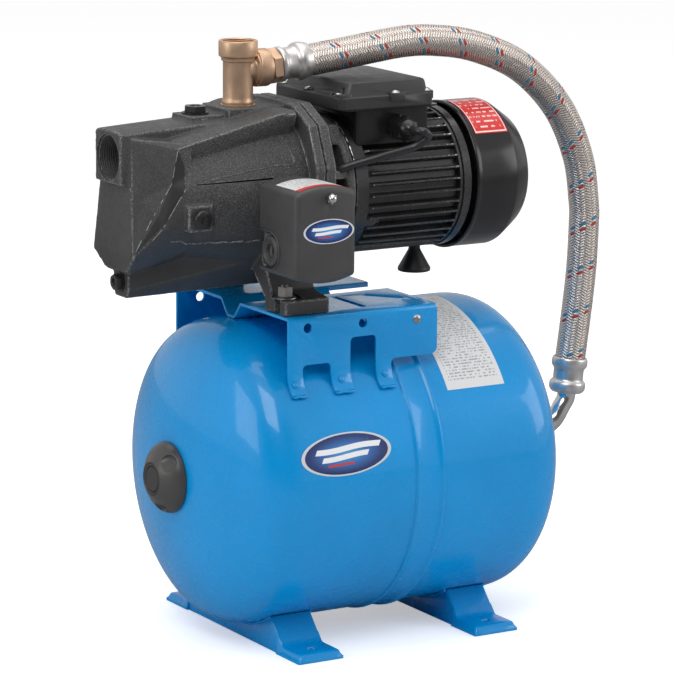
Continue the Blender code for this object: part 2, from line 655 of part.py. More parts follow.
SUPPORT_X, SUPPORT_TOP = 0.0778, 0.3560
add("motor_support_foot", turned([
    (0.3315, 0), (0.3315, 0.0156), (0.3345, 0.0158), (0.3525, 0.0056), (SUPPORT_TOP, 0.0056),
    (SUPPORT_TOP, 0)], (SUPPORT_X, 0, 0), Z_AXIS, 12), RUBBER, (SUPPORT_X, 0, SUPPORT_TOP))

# ------------------------------------------------------------------ rotating assembly
ROTOR = pivot("rotor_axis", SHAFT_MID)
IMPELLER_X, NUT_X, SEAL_X, FAN_X = -0.0925, -0.1050, -0.0790, 0.1210

add("motor_shaft", turned([
    (-0.1115, 0), (-0.1115, 0.0050), (-0.1010, 0.0050), (-0.1010, 0.0070), (-0.0600, 0.0070),
    (-0.0600, 0.0085), (-0.0100, 0.0085), (-0.0100, 0.0100), (0.0650, 0.0100),
    (0.0650, 0.0075), (0.1000, 0.0075), (0.1000, 0.0065), (0.1350, 0.0065), (0.1350, 0)],
    SHAFT_MID, seg=12), STEEL, SHAFT_MID, ROTOR)
add("rotor_core", tube(0.000, 0.056, 0.0103, 0.0314, SHAFT_MID, seg=12), STEEL, SHAFT_MID, ROTOR)
add("impeller", turned([
    (-0.1008, 0.0073), (-0.1008, 0.0110), (-0.1000, 0.0560), (-0.0985, 0.0580),
    (-0.0895, 0.0580), (-0.0870, 0.0130), (-0.0850, 0.0110), (-0.0850, 0.0073)],
    SHAFT_MID), BRASS, on_shaft(IMPELLER_X), ROTOR)
add("impeller_nut", combine(prism(hexagon(0.016, 0, SHAFT_Z), "X", -0.1090, -0.1013),
                            cut=[rod(-0.12, -0.09, 0.0053, SHAFT_MID, seg=12)]),
    STEEL, on_shaft(NUT_X), ROTOR)
add("seal_rotating_head", turned([
    (-0.0845, 0.0073), (-0.0845, 0.0105), (SEAL_X, 0.0118), (-0.0733, 0.0118),
    (-0.0733, 0.0073)], SHAFT_MID, seg=12), CARBON, on_shaft(SEAL_X), ROTOR)

# name, start x, end x, origin x, inner ring (bore, radius), outer ring (bore, radius)
BEARINGS = [
    ("front_bearing", -0.0263, -0.0143, -0.0203, (0.0088, 0.0120), (0.0165, 0.0200)),
    ("rear_bearing", 0.0780, 0.0881, 0.0830, (0.0078, 0.0102), (0.0128, 0.0160)),
]
for bearing, x0, x1, middle_x, inner_ring, outer_ring in BEARINGS:
    add(bearing + "_inner", tube(x0, x1, *inner_ring, SHAFT_MID, seg=12), STEEL,
        on_shaft(middle_x), ROTOR)
    add(bearing + "_outer", tube(x0, x1, *outer_ring, SHAFT_MID, seg=16), STEEL,
        on_shaft(middle_x))

BLADES = 8
BLADE_ROOT_R, BLADE_TIP_R = 0.016, 0.056
BLADE_ROOT_HALF, BLADE_TIP_HALF = 0.0016, 0.0012   # half thickness of a blade


def fan():
    outline = []
    root, tip = BLADE_ROOT_HALF / BLADE_ROOT_R, BLADE_TIP_HALF / BLADE_TIP_R
    for k in range(BLADES):
        t = 2 * math.pi * k / BLADES
        for turn, r in ((-root, BLADE_ROOT_R), (-tip, BLADE_TIP_R),
                        (tip, BLADE_TIP_R), (root, BLADE_ROOT_R)):
            outline.append((r * math.sin(t + turn), SHAFT_Z + r * math.cos(t + turn)))
    return combine(prism(outline, "X", 0.1130, 0.1290),
                   cut=[rod(0.10, 0.14, 0.0068, SHAFT_MID, seg=12)])


add("cooling_fan", fan(), BLACK, on_shaft(FAN_X), ROTOR)

# ------------------------------------------------------------------ terminal box
BOX_X = 0.0182
BOX_Y = 0.0535           # half width
GLAND_X, GLAND_Z = 0.0225, 0.4810
GLAND_AXIS = (GLAND_X, 0, GLAND_Z)
LID_X, LID_Z = 0.0080, 0.5008
CORNER_STEPS = 2
# shift along x, half length, half width, corner radius, z; from the mouth up
LID_OUTSIDE = [
    (0.0, 0.0515, 0.0615, 0.007, LID_Z),
    (0.0, 0.0515, 0.0615, 0.007, 0.5120),
    (0.0020, 0.0455, 0.0575, 0.006, 0.5130),
    (0.0040, 0.0425, 0.0540, 0.006, 0.5235),
    (0.0040, 0.0405, 0.0520, 0.006, 0.5248),
]
LID_INSIDE = [
    (0.0, 0.0485, 0.0585, 0.006, LID_Z),
    (0.0, 0.0485, 0.0585, 0.006, 0.5095),
    (0.0020, 0.0430, 0.0550, 0.005, 0.5105),
    (0.0040, 0.0400, 0.0515, 0.005, 0.5224),
]


def lid_ring(shift, half_x, half_y, corner, z):
    """Rounded rectangle."""
    points = []
    for side_x, side_y, start in ((1, 1, 0), (-1, 1, 90), (-1, -1, 180), (1, -1, 270)):
        for k in range(CORNER_STEPS + 1):
            a = math.radians(start + 90 * k / CORNER_STEPS)
            points.append((LID_X + shift + side_x * (half_x - corner) + corner * math.cos(a),
                           side_y * (half_y - corner) + corner * math.sin(a), z))
    return points


def terminal_box():
    """Open box, hollowed below to sit on the motor barrel."""
    return combine(block((-0.0215, 0.0580), (-BOX_Y, BOX_Y), (0.4600, 0.5005)), cut=[
        rod(-0.04, 0.07, MOTOR_R + 0.0018, SHAFT_MID, seg=32),
        block((-0.0190, 0.0555), (-0.0510, 0.0510), (0.4935, 0.5100)),
        rod(-0.060, -0.045, 0.0078, GLAND_AXIS, Y_AXIS, 12)])


add("terminal_box_base", terminal_box(), BLACK, (BOX_X, 0, 0.4805))
add("terminal_box_lid", cup([lid_ring(*row) for row in LID_OUTSIDE],
                            [lid_ring(*row) for row in LID_INSIDE]), BLACK, (LID_X, 0, LID_Z))
CAPACITOR_Y, CAPACITOR_Z = 0.030, 0.5070
add("run_capacitor", rod(-0.010, 0.044, 0.0120, (0, CAPACITOR_Y, CAPACITOR_Z), seg=12),
    PLASTIC, (0.017, CAPACITOR_Y, CAPACITOR_Z))
add("cable_gland", turned([
    (0.0495, 0.0043), (0.0495, 0.0074), (0.0538, 0.0074), (0.0538, 0.0112), (0.0600, 0.0112),
    (0.0610, 0.0098), (0.0660, 0.0098), (0.0665, 0.0115), (0.0740, 0.0115), (0.0800, 0.0078),
    (0.0830, 0.0060), (0.0830, 0.0043)], GLAND_AXIS, TO_FRONT, 12), BLACK,
    (GLAND_X, -0.0538, GLAND_Z))

CABLE_R = 0.0038
# (x, y, z) from inside the terminal box to the pressure switch
CABLE = [
    (GLAND_X, -0.052, GLAND_Z), (GLAND_X, -0.066, GLAND_Z), (GLAND_X, -0.080, GLAND_Z),
    (0.0226, -0.0870, 0.4812), (0.0262, -0.0955, 0.4815), (0.0325, -0.0930, 0.4755),
    (0.0215, -0.0840, 0.4655), (-0.0100, -0.0765, 0.4575), (-0.0380, -0.0650, 0.4490),
    (-0.0490, -0.0580, 0.4400), (-0.0510, -0.0580, 0.4220), (-0.0515, -0.0700, 0.4020),
    (-0.0580, -0.0918, 0.3895), (-0.0700, -0.1020, 0.3862), (-0.0775, -0.1056, 0.3857)]
add("motor_cable", swept(smooth_path(CABLE, 0.014), CABLE_R, 6), RUBBER, CABLE[0])

# ------------------------------------------------------------------ bolts of the pump's feet
BOLT_SEAT_Z = 0.3355


def flange_bolt(y):
    axis = (PUMP_BOLT_X, y, 0)
    head = prism(hexagon(0.013, PUMP_BOLT_X, y), "Z", 0.3365, 0.3470)
    collar = turned([(BOLT_SEAT_Z, 0), (BOLT_SEAT_Z, 0.0095), (0.3372, 0.0090), (0.3372, 0)],
                    axis, Z_AXIS, 16)
    shank = rod(0.3090, 0.3362, 0.0040, axis, Z_AXIS, 12)
    return combine(head, [collar, shank])


for bolt, bolt_y in (("foot_bolt_front", -PUMP_BOLT_Y), ("foot_bolt_rear", PUMP_BOLT_Y)):
    add(bolt, flange_bolt(bolt_y), STEEL, (PUMP_BOLT_X, bolt_y, BOLT_SEAT_Z))

# ------------------------------------------------------------------ discharge tee
TEE_Z = 0.5372           # height of the branch axis
BRANCH_AXIS = (0, 0, TEE_Z)


def tee():
    """Upright post, open at the top, with a branch towards +X."""
    post = turned([
        (0.4900, 0), (0.4900, 0.0163), (0.5048, 0.0163), (0.5048, 0.0151), (0.5070, 0.0151),
        (0.5100, 0.0140), (0.5445, 0.0142), (0.5450, 0.0157), (0.5484, 0.0157),
        (0.5490, 0.0180), (0.5640, 0.0182), (0.5640, 0)], TEE_AXIS, Z_AXIS, 16)
    branch = turned([
        (-0.118, 0), (-0.118, 0.0125), (-0.1034, 0.0130), (-0.1020, 0.0162),
        (-0.1005, 0.0162), (-0.1000, 0.0176), (-0.0875, 0.0176), (-0.0875, 0)],
        BRANCH_AXIS, seg=16)
    post_bore = turned([(0.48, 0), (0.48, 0.0105), (0.5480, 0.0105), (0.5485, 0.0158),
                        (0.58, 0.0158), (0.58, 0)], TEE_AXIS, Z_AXIS, 14)
    branch_bore = turned([(-0.117, 0), (-0.117, 0.0100), (-0.0945, 0.0100), (-0.0940, 0.0152),
                          (-0.06, 0.0152), (-0.06, 0)], BRANCH_AXIS, seg=16)
    return combine(post, [branch], [post_bore, branch_bore])


add("discharge_tee", tee(), BRASS, (TEE_X, 0, 0.5048))

# ------------------------------------------------------------------ hose
HOSE_R = 0.015
HOSE_BORE = 0.0096
CRIMP_R = 0.0126         # the hose is squeezed to this inside both ferrules
HOSE_SLOPE = math.radians(5.5)   # rise of the hose where it leaves the tee
START = Vector((-0.0855, 0, TEE_Z + 0.0004))
START_DIR = Vector((math.cos(HOSE_SLOPE), 0, math.sin(HOSE_SLOPE)))
END = Vector((0.2622, 0, 0.2270))
END_DIR = Vector((-0.105, 0, -0.99)).normalized()
HOSE = [
    START + START_DIR * 0.0130, START + START_DIR * 0.0300, (-0.0380, 0, 0.5413),
    (0.0233, 0, 0.5486), (0.0590, 0, 0.5525), (0.0940, 0, 0.5522), (0.1420, 0, 0.5440),
    (0.1958, 0, 0.5210), (0.2400, 0, 0.4800), (0.2655, 0, 0.4300), (0.2740, 0, 0.3850),
    (0.2750, 0, 0.3600), (0.2730, 0, 0.3150), (0.2680, 0, 0.2700), END]


def hose_nipple():
    hexagon_bar = rod(0.0000, 0.0088, hex_radius(0.0290), START, START_DIR, 6)
    thread = rod(-0.0065, 0.0010, 0.0136, START, START_DIR, 16)
    spigot = rod(0.0080, 0.0250, 0.0090, START, START_DIR, 12)
    bore = rod(-0.03, 0.04, 0.0070, START, START_DIR, 12)
    return combine(hexagon_bar, [thread, spigot], [bore])


def braided_hose():
    path = smooth_path(HOSE, 0.030) + [END + END_DIR * 0.010, END + END_DIR * 0.024]
    radii = [CRIMP_R] * 2 + [HOSE_R] * (len(path) - 4) + [CRIMP_R] * 2
    return swept(path, radii, 12, HOSE_BORE)


add("hose_nipple", hose_nipple(), BRASS, START)
add("hose_ferrule_upper", turned([
    (0.0093, 0.0093), (0.0093, 0.0163), (0.0125, 0.0168), (0.0160, 0.0148), (0.0250, 0.0146),
    (0.0280, 0.0178), (0.0340, 0.0180), (0.0375, 0.0166), (0.0388, 0.0163), (0.0388, 0.0157),
    (0.0345, 0.0157), (0.0290, 0.0131), (0.0125, 0.0131), (0.0125, 0.0093)],
    START, START_DIR, 16), CHROME, START)
add("braided_hose", braided_hose(), BRAID, START)
add("hose_ferrule_lower", turned([
    (-0.0010, 0.0157), (-0.0010, 0.0165), (0.0010, 0.0176), (0.0075, 0.0176),
    (0.0105, 0.0150), (0.0210, 0.0148), (0.0235, 0.0178), (0.0310, 0.0178),
    (0.0340, 0.0150), (0.0340, 0.0093), (0.0245, 0.0093), (0.0245, 0.0131),
    (0.0105, 0.0131), (0.0040, 0.0157)], END, END_DIR, 16), CHROME, END)

ELBOW_R, ELBOW_BORE = 0.0090, 0.0066
ELBOW_STEP = 0.011
ELBOW_END_X = 0.2122
ELBOW_TOP = END + END_DIR * 0.0180
ELBOW = [
    ELBOW_TOP, ELBOW_TOP + END_DIR * 0.0130, ELBOW_TOP + END_DIR * 0.0220,
    (0.2530, 0, 0.1795), (0.2440, 0, 0.1665), (0.2320, 0, 0.1598), (0.2220, 0, TANK_Z),
    (ELBOW_END_X, 0, TANK_Z)]


def hose_elbow():
    collar = rod(0.2100, 0.2130, 0.0150, TANK_MID, seg=16)
    # the bore's path runs past both ends of the elbow
    bore_path = [ELBOW_TOP + Vector((0.001, 0, 0.010)), *ELBOW, (0.2000, 0, TANK_Z)]
    return combine(swept(smooth_path(ELBOW, ELBOW_STEP), ELBOW_R, 12), [collar],
                   [swept(smooth_path(bore_path, ELBOW_STEP), ELBOW_BORE, 8)])


def swivel_nut():
    return combine(rod(0.1990, 0.2190, 0.0212, TANK_MID, seg=6), cut=[
        rod(0.19, 0.2145, PORT_CLEAR_R, TANK_MID, seg=14),
        rod(0.21, 0.23, 0.0098, TANK_MID, seg=16)])


add("hose_elbow", hose_elbow(), CHROME, (ELBOW_END_X, 0, TANK_Z))
add("swivel_nut", swivel_nut(), CHROME, (0.2090, 0, TANK_Z))


# ------------------------------------------------------------------ plugs
def hex_plug(seat, direction, head_start, head_end, across_flats, thread_r, thread_length):
    """Hexagon head over a thread; lengths run outwards from the seat."""
    return combine(rod(head_start, head_end, hex_radius(across_flats), seat, direction, 6),
                   [rod(-thread_length, head_start + 0.001, thread_r, seat, direction, 14)])


PRIMING = (PRIMING_X, 0, PRIMING_PAD_Z)
add("priming_washer", tube(GAP, 0.0018, 0.0098, 0.0125, PRIMING, Z_AXIS, 16), COPPER, PRIMING)
add("priming_plug", hex_plug(PRIMING, Z_AXIS, head_start=0.0021, head_end=0.0075,
                             across_flats=0.0190, thread_r=0.0093, thread_length=0.0110),
    BLACK, PRIMING)
DRAIN = (KEEL_X, 0, DRAIN_Z)
add("drain_washer", tube(GAP, 0.0015, 0.0064, 0.0090, DRAIN, TO_SUCTION, 14), COPPER, DRAIN)
add("drain_plug", hex_plug(DRAIN, TO_SUCTION, head_start=0.0018, head_end=0.0075,
                           across_flats=0.0130, thread_r=0.0059, thread_length=0.0090),
    BLACK, DRAIN)
SIDE = (SIDE_X, SIDE_BOSS_Y, SIDE_Z)
side_head = turned([(GAP, 0), (GAP, 0.0085), (0.0035, 0.0080), (0.0055, 0.0045), (0.0060, 0)],
                   SIDE, TO_FRONT, 16)
add("side_plug", combine(side_head, [rod(-0.0120, 0.0010, 0.0058, SIDE, TO_FRONT, 12)]),
    BLACK, SIDE)

# ------------------------------------------------------------------ pressure switch
SWITCH_Z = 0.4060
COVER_MOUTH_Y, COVER_FACE_Y = -0.0865, -0.152
PLATE_HALF = 0.0285      # half width of the base plate
PLATE_FRONT_Y, PLATE_BACK_Y = -0.0920, -0.0891
CABLE_HOLE = (SWITCH_X, -0.1056, 0.3857)   # holes in both cheeks, on one axis along x
COVER_HOLE_R = 0.0163
STUD = (-0.1080, 0, 0.4378)                # axes along y, of the cover's stud
SPRING = (-0.1240, 0, 0.4240)              # and of the range spring

add("switch_nipple", tube(0.0775, 0.0888, 0.0030, 0.0065, SWITCH_AXIS, TO_FRONT, 12), BRASS,
    (SWITCH_X, -0.0775, SWITCH_PORT_Z))


def base_plate():
    """Plate with a cheek and a cable bushing at each end, the stud and the spring's rod."""
    joined = []
    for s in (-1, 1):
        joined.append(block((SWITCH_X + s * PLATE_HALF, SWITCH_X + s * 0.0260),
                            (-0.1205, -0.0900), (0.3712, 0.4000)))
        joined.append(rod(0.0270, 0.0342, 0.0143, CABLE_HOLE, (s, 0, 0), 14))
    joined.append(rod(0.0900, 0.1545, 0.0020, STUD, TO_FRONT, 8))
    joined.append(rod(0.0900, 0.1330, 0.0023, SPRING, TO_FRONT, 8))
    plate = block((SWITCH_X - PLATE_HALF, SWITCH_X + PLATE_HALF),
                  (PLATE_FRONT_Y, PLATE_BACK_Y), (0.3710, 0.4405))
    return combine(plate, joined, [rod(-0.05, 0.05, 0.0065, CABLE_HOLE, seg=12)])


add("switch_base", base_plate(), STEEL, (SWITCH_X, PLATE_BACK_Y, SWITCH_Z))

# y, half width, bottom z and top z at the corners, bulge of the top and bottom edges
COVER_OUTSIDE = [
    (COVER_MOUTH_Y, 0.0315, 0.3660, 0.4425, 0.0060),
    (-0.1470, 0.0315, 0.3660, 0.4425, 0.0060),
    (-0.1508, 0.0300, 0.3675, 0.4410, 0.0060),
    (COVER_FACE_Y, 0.0270, 0.3700, 0.4385, 0.0058),
]
COVER_INSIDE = [
    (COVER_MOUTH_Y, 0.0297, 0.3678, 0.4407, 0.0060),
    (-0.1465, 0.0297, 0.3678, 0.4407, 0.0060),
    (-0.1500, 0.0270, 0.3700, 0.4385, 0.0058),
]


def cover_ring(y, half_x, bottom, top, bulge):
    points = []
    for edge_z, side in ((top, 1), (bottom, -1)):
        for k in range(5):
            x = side * half_x * (1 - k / 2)
            points.append((SWITCH_X + x, y, edge_z + side * bulge * (1 - (x / half_x) ** 2)))
    return points


def switch_cover():
    """Cup open to the back, with a slot from each cable hole to the mouth."""
    _, hole_y, hole_z = CABLE_HOLE
    body = cup([cover_ring(*row) for row in COVER_OUTSIDE],
               [cover_ring(*row) for row in COVER_INSIDE])
    return combine(body, cut=[
        rod(-0.05, 0.05, COVER_HOLE_R, CABLE_HOLE, seg=18),
        block((SWITCH_X - 0.05, SWITCH_X + 0.05), (hole_y, -0.0800),
              (hole_z - COVER_HOLE_R, hole_z + COVER_HOLE_R)),
        rod(0.14, 0.16, 0.0028, STUD, TO_FRONT, 10)])


add("switch_cover", switch_cover(), COVER, (SWITCH_X, COVER_MOUTH_Y, SWITCH_Z))
add("acorn_nut", turned([
    (0.1570, 0), (0.1570, 0.0024), (0.1523, 0.0024), (0.1523, 0.0062), (0.1560, 0.0062),
    (0.1590, 0.0045), (0.1602, 0.0020), (0.1604, 0)], STUD, TO_FRONT, 12), CHROME,
    (STUD[0], -0.1523, STUD[2]))
add("contact_block", block((SWITCH_X - 0.0200, SWITCH_X + 0.0200), (-0.1120, -0.0924),
                           (0.3760, 0.3980)), PLASTIC, (SWITCH_X, -0.0924, 0.3870))
LEVER_PIVOT = (SWITCH_X, -0.0970, 0.4030)
lever_plate = block((SWITCH_X - 0.0140, SWITCH_X + 0.0140), (-0.1300, -0.0975), (0.4015, 0.4032))
add("contact_lever", combine(lever_plate, [rod(-0.0170, 0.0170, 0.0021, LEVER_PIVOT, seg=10)]),
    STEEL, LEVER_PIVOT)

COIL_TURNS, COIL_SEG = 4, 10
COIL_R, COIL_WIRE_R = 0.0058, 0.0010
COIL_BACK_Y, COIL_LENGTH = -0.0945, 0.0300


def range_spring():
    steps = COIL_TURNS * COIL_SEG
    coil = []
    for k in range(steps + 1):
        a = 2 * math.pi * k / COIL_SEG
        coil.append((SPRING[0] + COIL_R * math.cos(a), COIL_BACK_Y - COIL_LENGTH * k / steps,
                     SPRING[2] + COIL_R * math.sin(a)))
    return swept(coil, COIL_WIRE_R, 5)


add("range_spring", range_spring(), STEEL, (SPRING[0], COIL_BACK_Y, SPRING[2]))
NUT_START, NUT_END = 0.1262, 0.1305        # distances towards the front
add("range_nut", combine(
    rod(NUT_START, NUT_END, hex_radius(0.0100), SPRING, TO_FRONT, 6),
    cut=[rod(NUT_START - 0.01, NUT_END + 0.01, 0.0027, SPRING, TO_FRONT, 20)]),
    STEEL, (SPRING[0], -NUT_START, SPRING[2]))
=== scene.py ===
"""Shallow well jet pump on a horizontal pressure tank, built finely around its CAD frame.

The tank lies along X on two feet.  The pump stands on a platform over its left half, with the
suction opening facing left (-X) and the motor reaching right (+X) under a fan cowl.  A braided
hose arches from the brass tee over the pump down to the water port at the tank's right end.
Front is -Y, up is +Z, lengths are metres.
"""

import random
from functools import cached_property
from math import asin, atan, atan2, cos, degrees, floor, pi, radians, sin, sqrt

import bmesh
import bpy
from mathutils import Matrix, Vector
from mathutils.bvhtree import BVHTree


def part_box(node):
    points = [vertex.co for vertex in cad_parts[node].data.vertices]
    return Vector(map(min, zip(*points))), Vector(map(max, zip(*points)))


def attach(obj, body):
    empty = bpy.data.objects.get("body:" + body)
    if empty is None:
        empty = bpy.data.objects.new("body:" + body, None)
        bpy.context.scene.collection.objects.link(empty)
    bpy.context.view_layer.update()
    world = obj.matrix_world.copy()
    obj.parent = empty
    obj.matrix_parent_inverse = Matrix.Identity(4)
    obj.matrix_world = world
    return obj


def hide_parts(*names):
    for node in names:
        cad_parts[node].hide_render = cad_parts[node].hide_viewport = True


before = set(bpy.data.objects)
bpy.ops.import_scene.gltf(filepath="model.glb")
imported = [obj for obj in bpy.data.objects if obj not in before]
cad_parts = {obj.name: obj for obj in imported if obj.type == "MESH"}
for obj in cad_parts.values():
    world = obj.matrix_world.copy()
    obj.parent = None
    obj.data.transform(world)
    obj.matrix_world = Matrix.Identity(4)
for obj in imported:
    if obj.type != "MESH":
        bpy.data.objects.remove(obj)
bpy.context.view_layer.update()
random.seed(7)

# ---------------------------------------------------------------- main dimensions
TANK_R = 0.145
TANK_HALF = 0.116             # half the length of the straight cylinder
DOME, DOME_POWER = 0.0642, 3.0   # depth of the end domes, and their superellipse exponent
CROWN, CROWN_R = 0.0096, 0.125   # extra bulge in the middle of each dome
SHELL_T = 0.002
SEAM_X = 0.009
GAP = 0.0003                  # clearance between touching pieces
SUCTION_X, SUCTION_Z = -0.2532, 0.4642
DRAIN_Z = 0.3487
MOTOR_R = 0.0668
PLAT_X0, PLAT_X1, PLAT_Z, SHEET = -0.1238, 0.0365, 0.321, 0.0025
BOLT_X, BOLT_Y = -0.1135, 0.083
TEE_X, TEE_Z = -0.117, 0.5372
HOSE_R, CRIMP_R = 0.015, 0.0126
SWITCH_X, SWITCH_BACK, SWITCH_FRONT = -0.1112, -0.0865, -0.152

LEFT, RIGHT = (-1, 0, 0), (1, 0, 0)
FRONT, BACK, UP = (0, -1, 0), (0, 1, 0), (0, 0, 1)
SIDES = (-1, 1)

# Pieces are drawn from the point on the floor under the middle of the tank.  OFFSET carries them
# to that point in the frame: x comes from the casing's suction face, y from the tank shell.
shell_low, shell_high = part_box("tank_shell_left")
jet_low, jet_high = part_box("jet_nozzle")
TANK_Z = (shell_low.z + shell_high.z) / 2
SHAFT_Z = (jet_low.z + jet_high.z) / 2
OFFSET = Vector((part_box("pump_casing")[0].x - SUCTION_X, (shell_low.y + shell_high.y) / 2, 0.0))
TANK, SHAFT = (0, 0, TANK_Z), (0, 0, SHAFT_Z)   # points on the two long axes


# ---------------------------------------------------------------- shape helpers
def fix_normals(shape):
    bmesh.ops.recalc_face_normals(shape, faces=shape.faces)
    return shape


def basis(direction):
    """Unit direction and two unit vectors square to it."""
    along = Vector(direction).normalized()
    ref = Vector(UP if abs(along.z) < 0.9 else RIGHT)
    across = (ref - along * ref.dot(along)).normalized()
    return along, across, along.cross(across)


def circle(centre, across, other, radius, seg):
    return [centre + (across * cos(angle) + other * sin(angle)) * radius
            for angle in (2 * pi * k / seg for k in range(seg))]


def bridge(shape, rings, closed_rows, closed_ring):
    """Fills faces between successive rings of vertices."""
    rows, columns = len(rings), len(rings[0])
    for i in range(rows if closed_rows else rows - 1):
        ring, after = rings[i], rings[(i + 1) % rows]
        for j in range(columns if closed_ring else columns - 1):
            k = (j + 1) % columns
            corners = []
            for vert in (ring[j], ring[k], after[k], after[j]):
                if vert not in corners:
                    corners.append(vert)
            if len(corners) > 2:
                shape.faces.new(corners)


def turned(profile, origin=(0, 0, 0), direction=RIGHT, seg=24):
    """Solid of revolution.  profile holds (distance along the axis, radius).  A profile that
    starts and ends on the axis is a solid; one that never touches it closes into a ring."""
    along, across, other = basis(direction)
    origin = Vector(origin)
    shape = bmesh.new()
    rings = []
    for distance, radius in profile:
        centre = origin + along * distance
        if radius < 1e-9:
            rings.append([shape.verts.new(centre)] * seg)
        else:
            points = circle(centre, across, other, radius, seg)
            rings.append([shape.verts.new(point) for point in points])
    bridge(shape, rings, all(radius > 1e-9 for _, radius in profile), True)
    return shape


def solid(profile, origin=(0, 0, 0), direction=RIGHT, seg=24):
    """Turned solid with flat ends: the points on the axis are added."""
    return turned([(profile[0][0], 0), *profile, (profile[-1][0], 0)], origin, direction, seg)


def rod(start, stop, radius, origin=(0, 0, 0), direction=RIGHT, seg=24):
    return solid([(start, radius), (stop, radius)], origin, direction, seg)


def loft(rings):
    """Closed solid through rings of points."""
    shape = bmesh.new()
    verts = [[shape.verts.new(point) for point in ring] for ring in rings]
    bridge(shape, verts, False, True)
    shape.faces.new(verts[0])
    shape.faces.new(list(reversed(verts[-1])))
    return fix_normals(shape)


def prism(outline, axis, start, stop):
    """Straight prism.  outline is in (y,z), (x,z) or (x,y) for axis X, Y or Z."""
    def place(point, along):
        first, second = point
        return {"X": (along, first, second), "Y": (first, along, second),
                "Z": (first, second, along)}[axis]
    shape = bmesh.new()
    low = [shape.verts.new(place(point, start)) for point in outline]
    high = [shape.verts.new(place(point, stop)) for point in outline]
    shape.faces.new(low)
    shape.faces.new(list(reversed(high)))
    count = len(outline)
    for i in range(count):
        j = (i + 1) % count
        shape.faces.new((low[i], high[i], high[j], low[j]))
    return fix_normals(shape)


def block(x0, x1, y0, y1, z0, z1):
    return prism([(x0, y0), (x1, y0), (x1, y1), (x0, y1)], "Z", z0, z1)


def cup(outer, inner):
    """Open shell: outer and inner rings run from the mouth to the closed end."""
    shape = bmesh.new()
    outer, inner = ([[shape.verts.new(point) for point in ring] for ring in rings]
                    for rings in (outer, inner))
    bridge(shape, outer, False, True)
    bridge(shape, inner, False, True)
    bridge(shape, [outer[0], inner[0]], False, True)
    shape.faces.new(outer[-1])
    shape.faces.new(inner[-1])
    return fix_normals(shape)


def smooth_path(points, step):
    """Catmull-Rom curve through the points, sampled about every step."""
    points = [Vector(point) for point in points]
    points = [points[0] * 2 - points[1]] + points + [points[-1] * 2 - points[-2]]
    path = []
    for i in range(1, len(points) - 2):
        before, here, after, beyond = points[i - 1:i + 3]
        count = max(1, round((after - here).length / step))
        for k in range(count):
            t = k / count
            path.append(0.5 * ((2 * here) + (after - before) * t
                               + (2 * before - 5 * here + 4 * after - beyond) * t * t
                               + (3 * here - before - 3 * after + beyond) * t ** 3))
    path.append(points[-2])
    return path


def swept(path, radius, seg=12):
    """Round bar along a path.  radius is one number, or one for each point."""
    path = [Vector(point) for point in path]
    last = len(path) - 1
    radii = radius if isinstance(radius, list) else [radius] * len(path)
    tangents = [(path[min(i + 1, last)] - path[max(i - 1, 0)]).normalized()
                for i in range(len(path))]
    across = basis(tangents[0])[1]
    rings = []
    for point, tangent, size in zip(path, tangents, radii):
        across = (across - tangent * across.dot(tangent)).normalized()
        rings.append(circle(point, across, tangent.cross(across), size, seg))
    return loft(rings)


def sheet(face_a, face_b, keep=lambda i, j: True, wrap=False):
    """Thick sheet between two matching point grids, without the cells where keep is false."""
    rows, columns = len(face_a), len(face_a[0])
    shape = bmesh.new()
    verts = {}

    def vert(grid, i, j):
        key = (grid, i % rows, j)
        if key not in verts:
            verts[key] = shape.verts.new((face_b if grid else face_a)[i % rows][j])
        return verts[key]

    rim = {}
    for i in range(rows if wrap else rows - 1):
        for j in range(columns - 1):
            if not keep(i, j):
                continue
            cell = [(i, j), (i + 1, j), (i + 1, j + 1), (i, j + 1)]
            shape.faces.new([vert(0, *corner) for corner in cell])
            shape.faces.new([vert(1, *corner) for corner in reversed(cell)])
            for start, stop in zip(cell, cell[1:] + cell[:1]):
                start, stop = (start[0] % rows, start[1]), (stop[0] % rows, stop[1])
                if (stop, start) in rim:
                    del rim[(stop, start)]
                else:
                    rim[(start, stop)] = True
    for start, stop in rim:
        shape.faces.new([vert(0, *stop), vert(0, *start), vert(1, *start), vert(1, *stop)])
    return fix_normals(shape)


def temp_object(shape):
    mesh = bpy.data.meshes.new("tool")
    fix_normals(shape).to_mesh(mesh)
    ob = bpy.data.objects.new("tool", mesh)
    bpy.context.scene.collection.objects.link(ob)
    return ob


def evaluated(ob):
    """The object's shape with its modifiers applied."""
    bpy.context.view_layer.update()
    depsgraph = bpy.context.evaluated_depsgraph_get()
    shape = bmesh.new()
    shape.from_mesh(bpy.data.meshes.new_from_object(ob.evaluated_get(depsgraph)))
    return shape


def add(shape):
    return "UNION", shape


def cut(shape):
    return "DIFFERENCE", shape


def combine(base, *steps):
    """Applies exact Booleans one after another: steps are (operation, shape)."""
    for operation, tool in steps:
        target, helper = temp_object(base), temp_object(tool)
        modifier = target.modifiers.new("cut", "BOOLEAN")
        modifier.operation = operation
        modifier.solver = "EXACT"
        modifier.object = helper
        base = evaluated(target)
        bmesh.ops.remove_doubles(base, verts=base.verts, dist=1e-6)
        bmesh.ops.dissolve_degenerate(base, edges=base.edges, dist=1e-6)
        for ob in (target, helper):
            bpy.data.objects.remove(ob, do_unlink=True)
    return base


def modified(shape, *modifiers):
    """Applies modifiers: each is (type, {setting: value})."""
    ob = temp_object(shape)
    for kind, settings in modifiers:
        modifier = ob.modifiers.new("step", kind)
        for key, value in settings.items():
            setattr(modifier, key, value)
    made = evaluated(ob)
    bpy.data.objects.remove(ob, do_unlink=True)
    return made


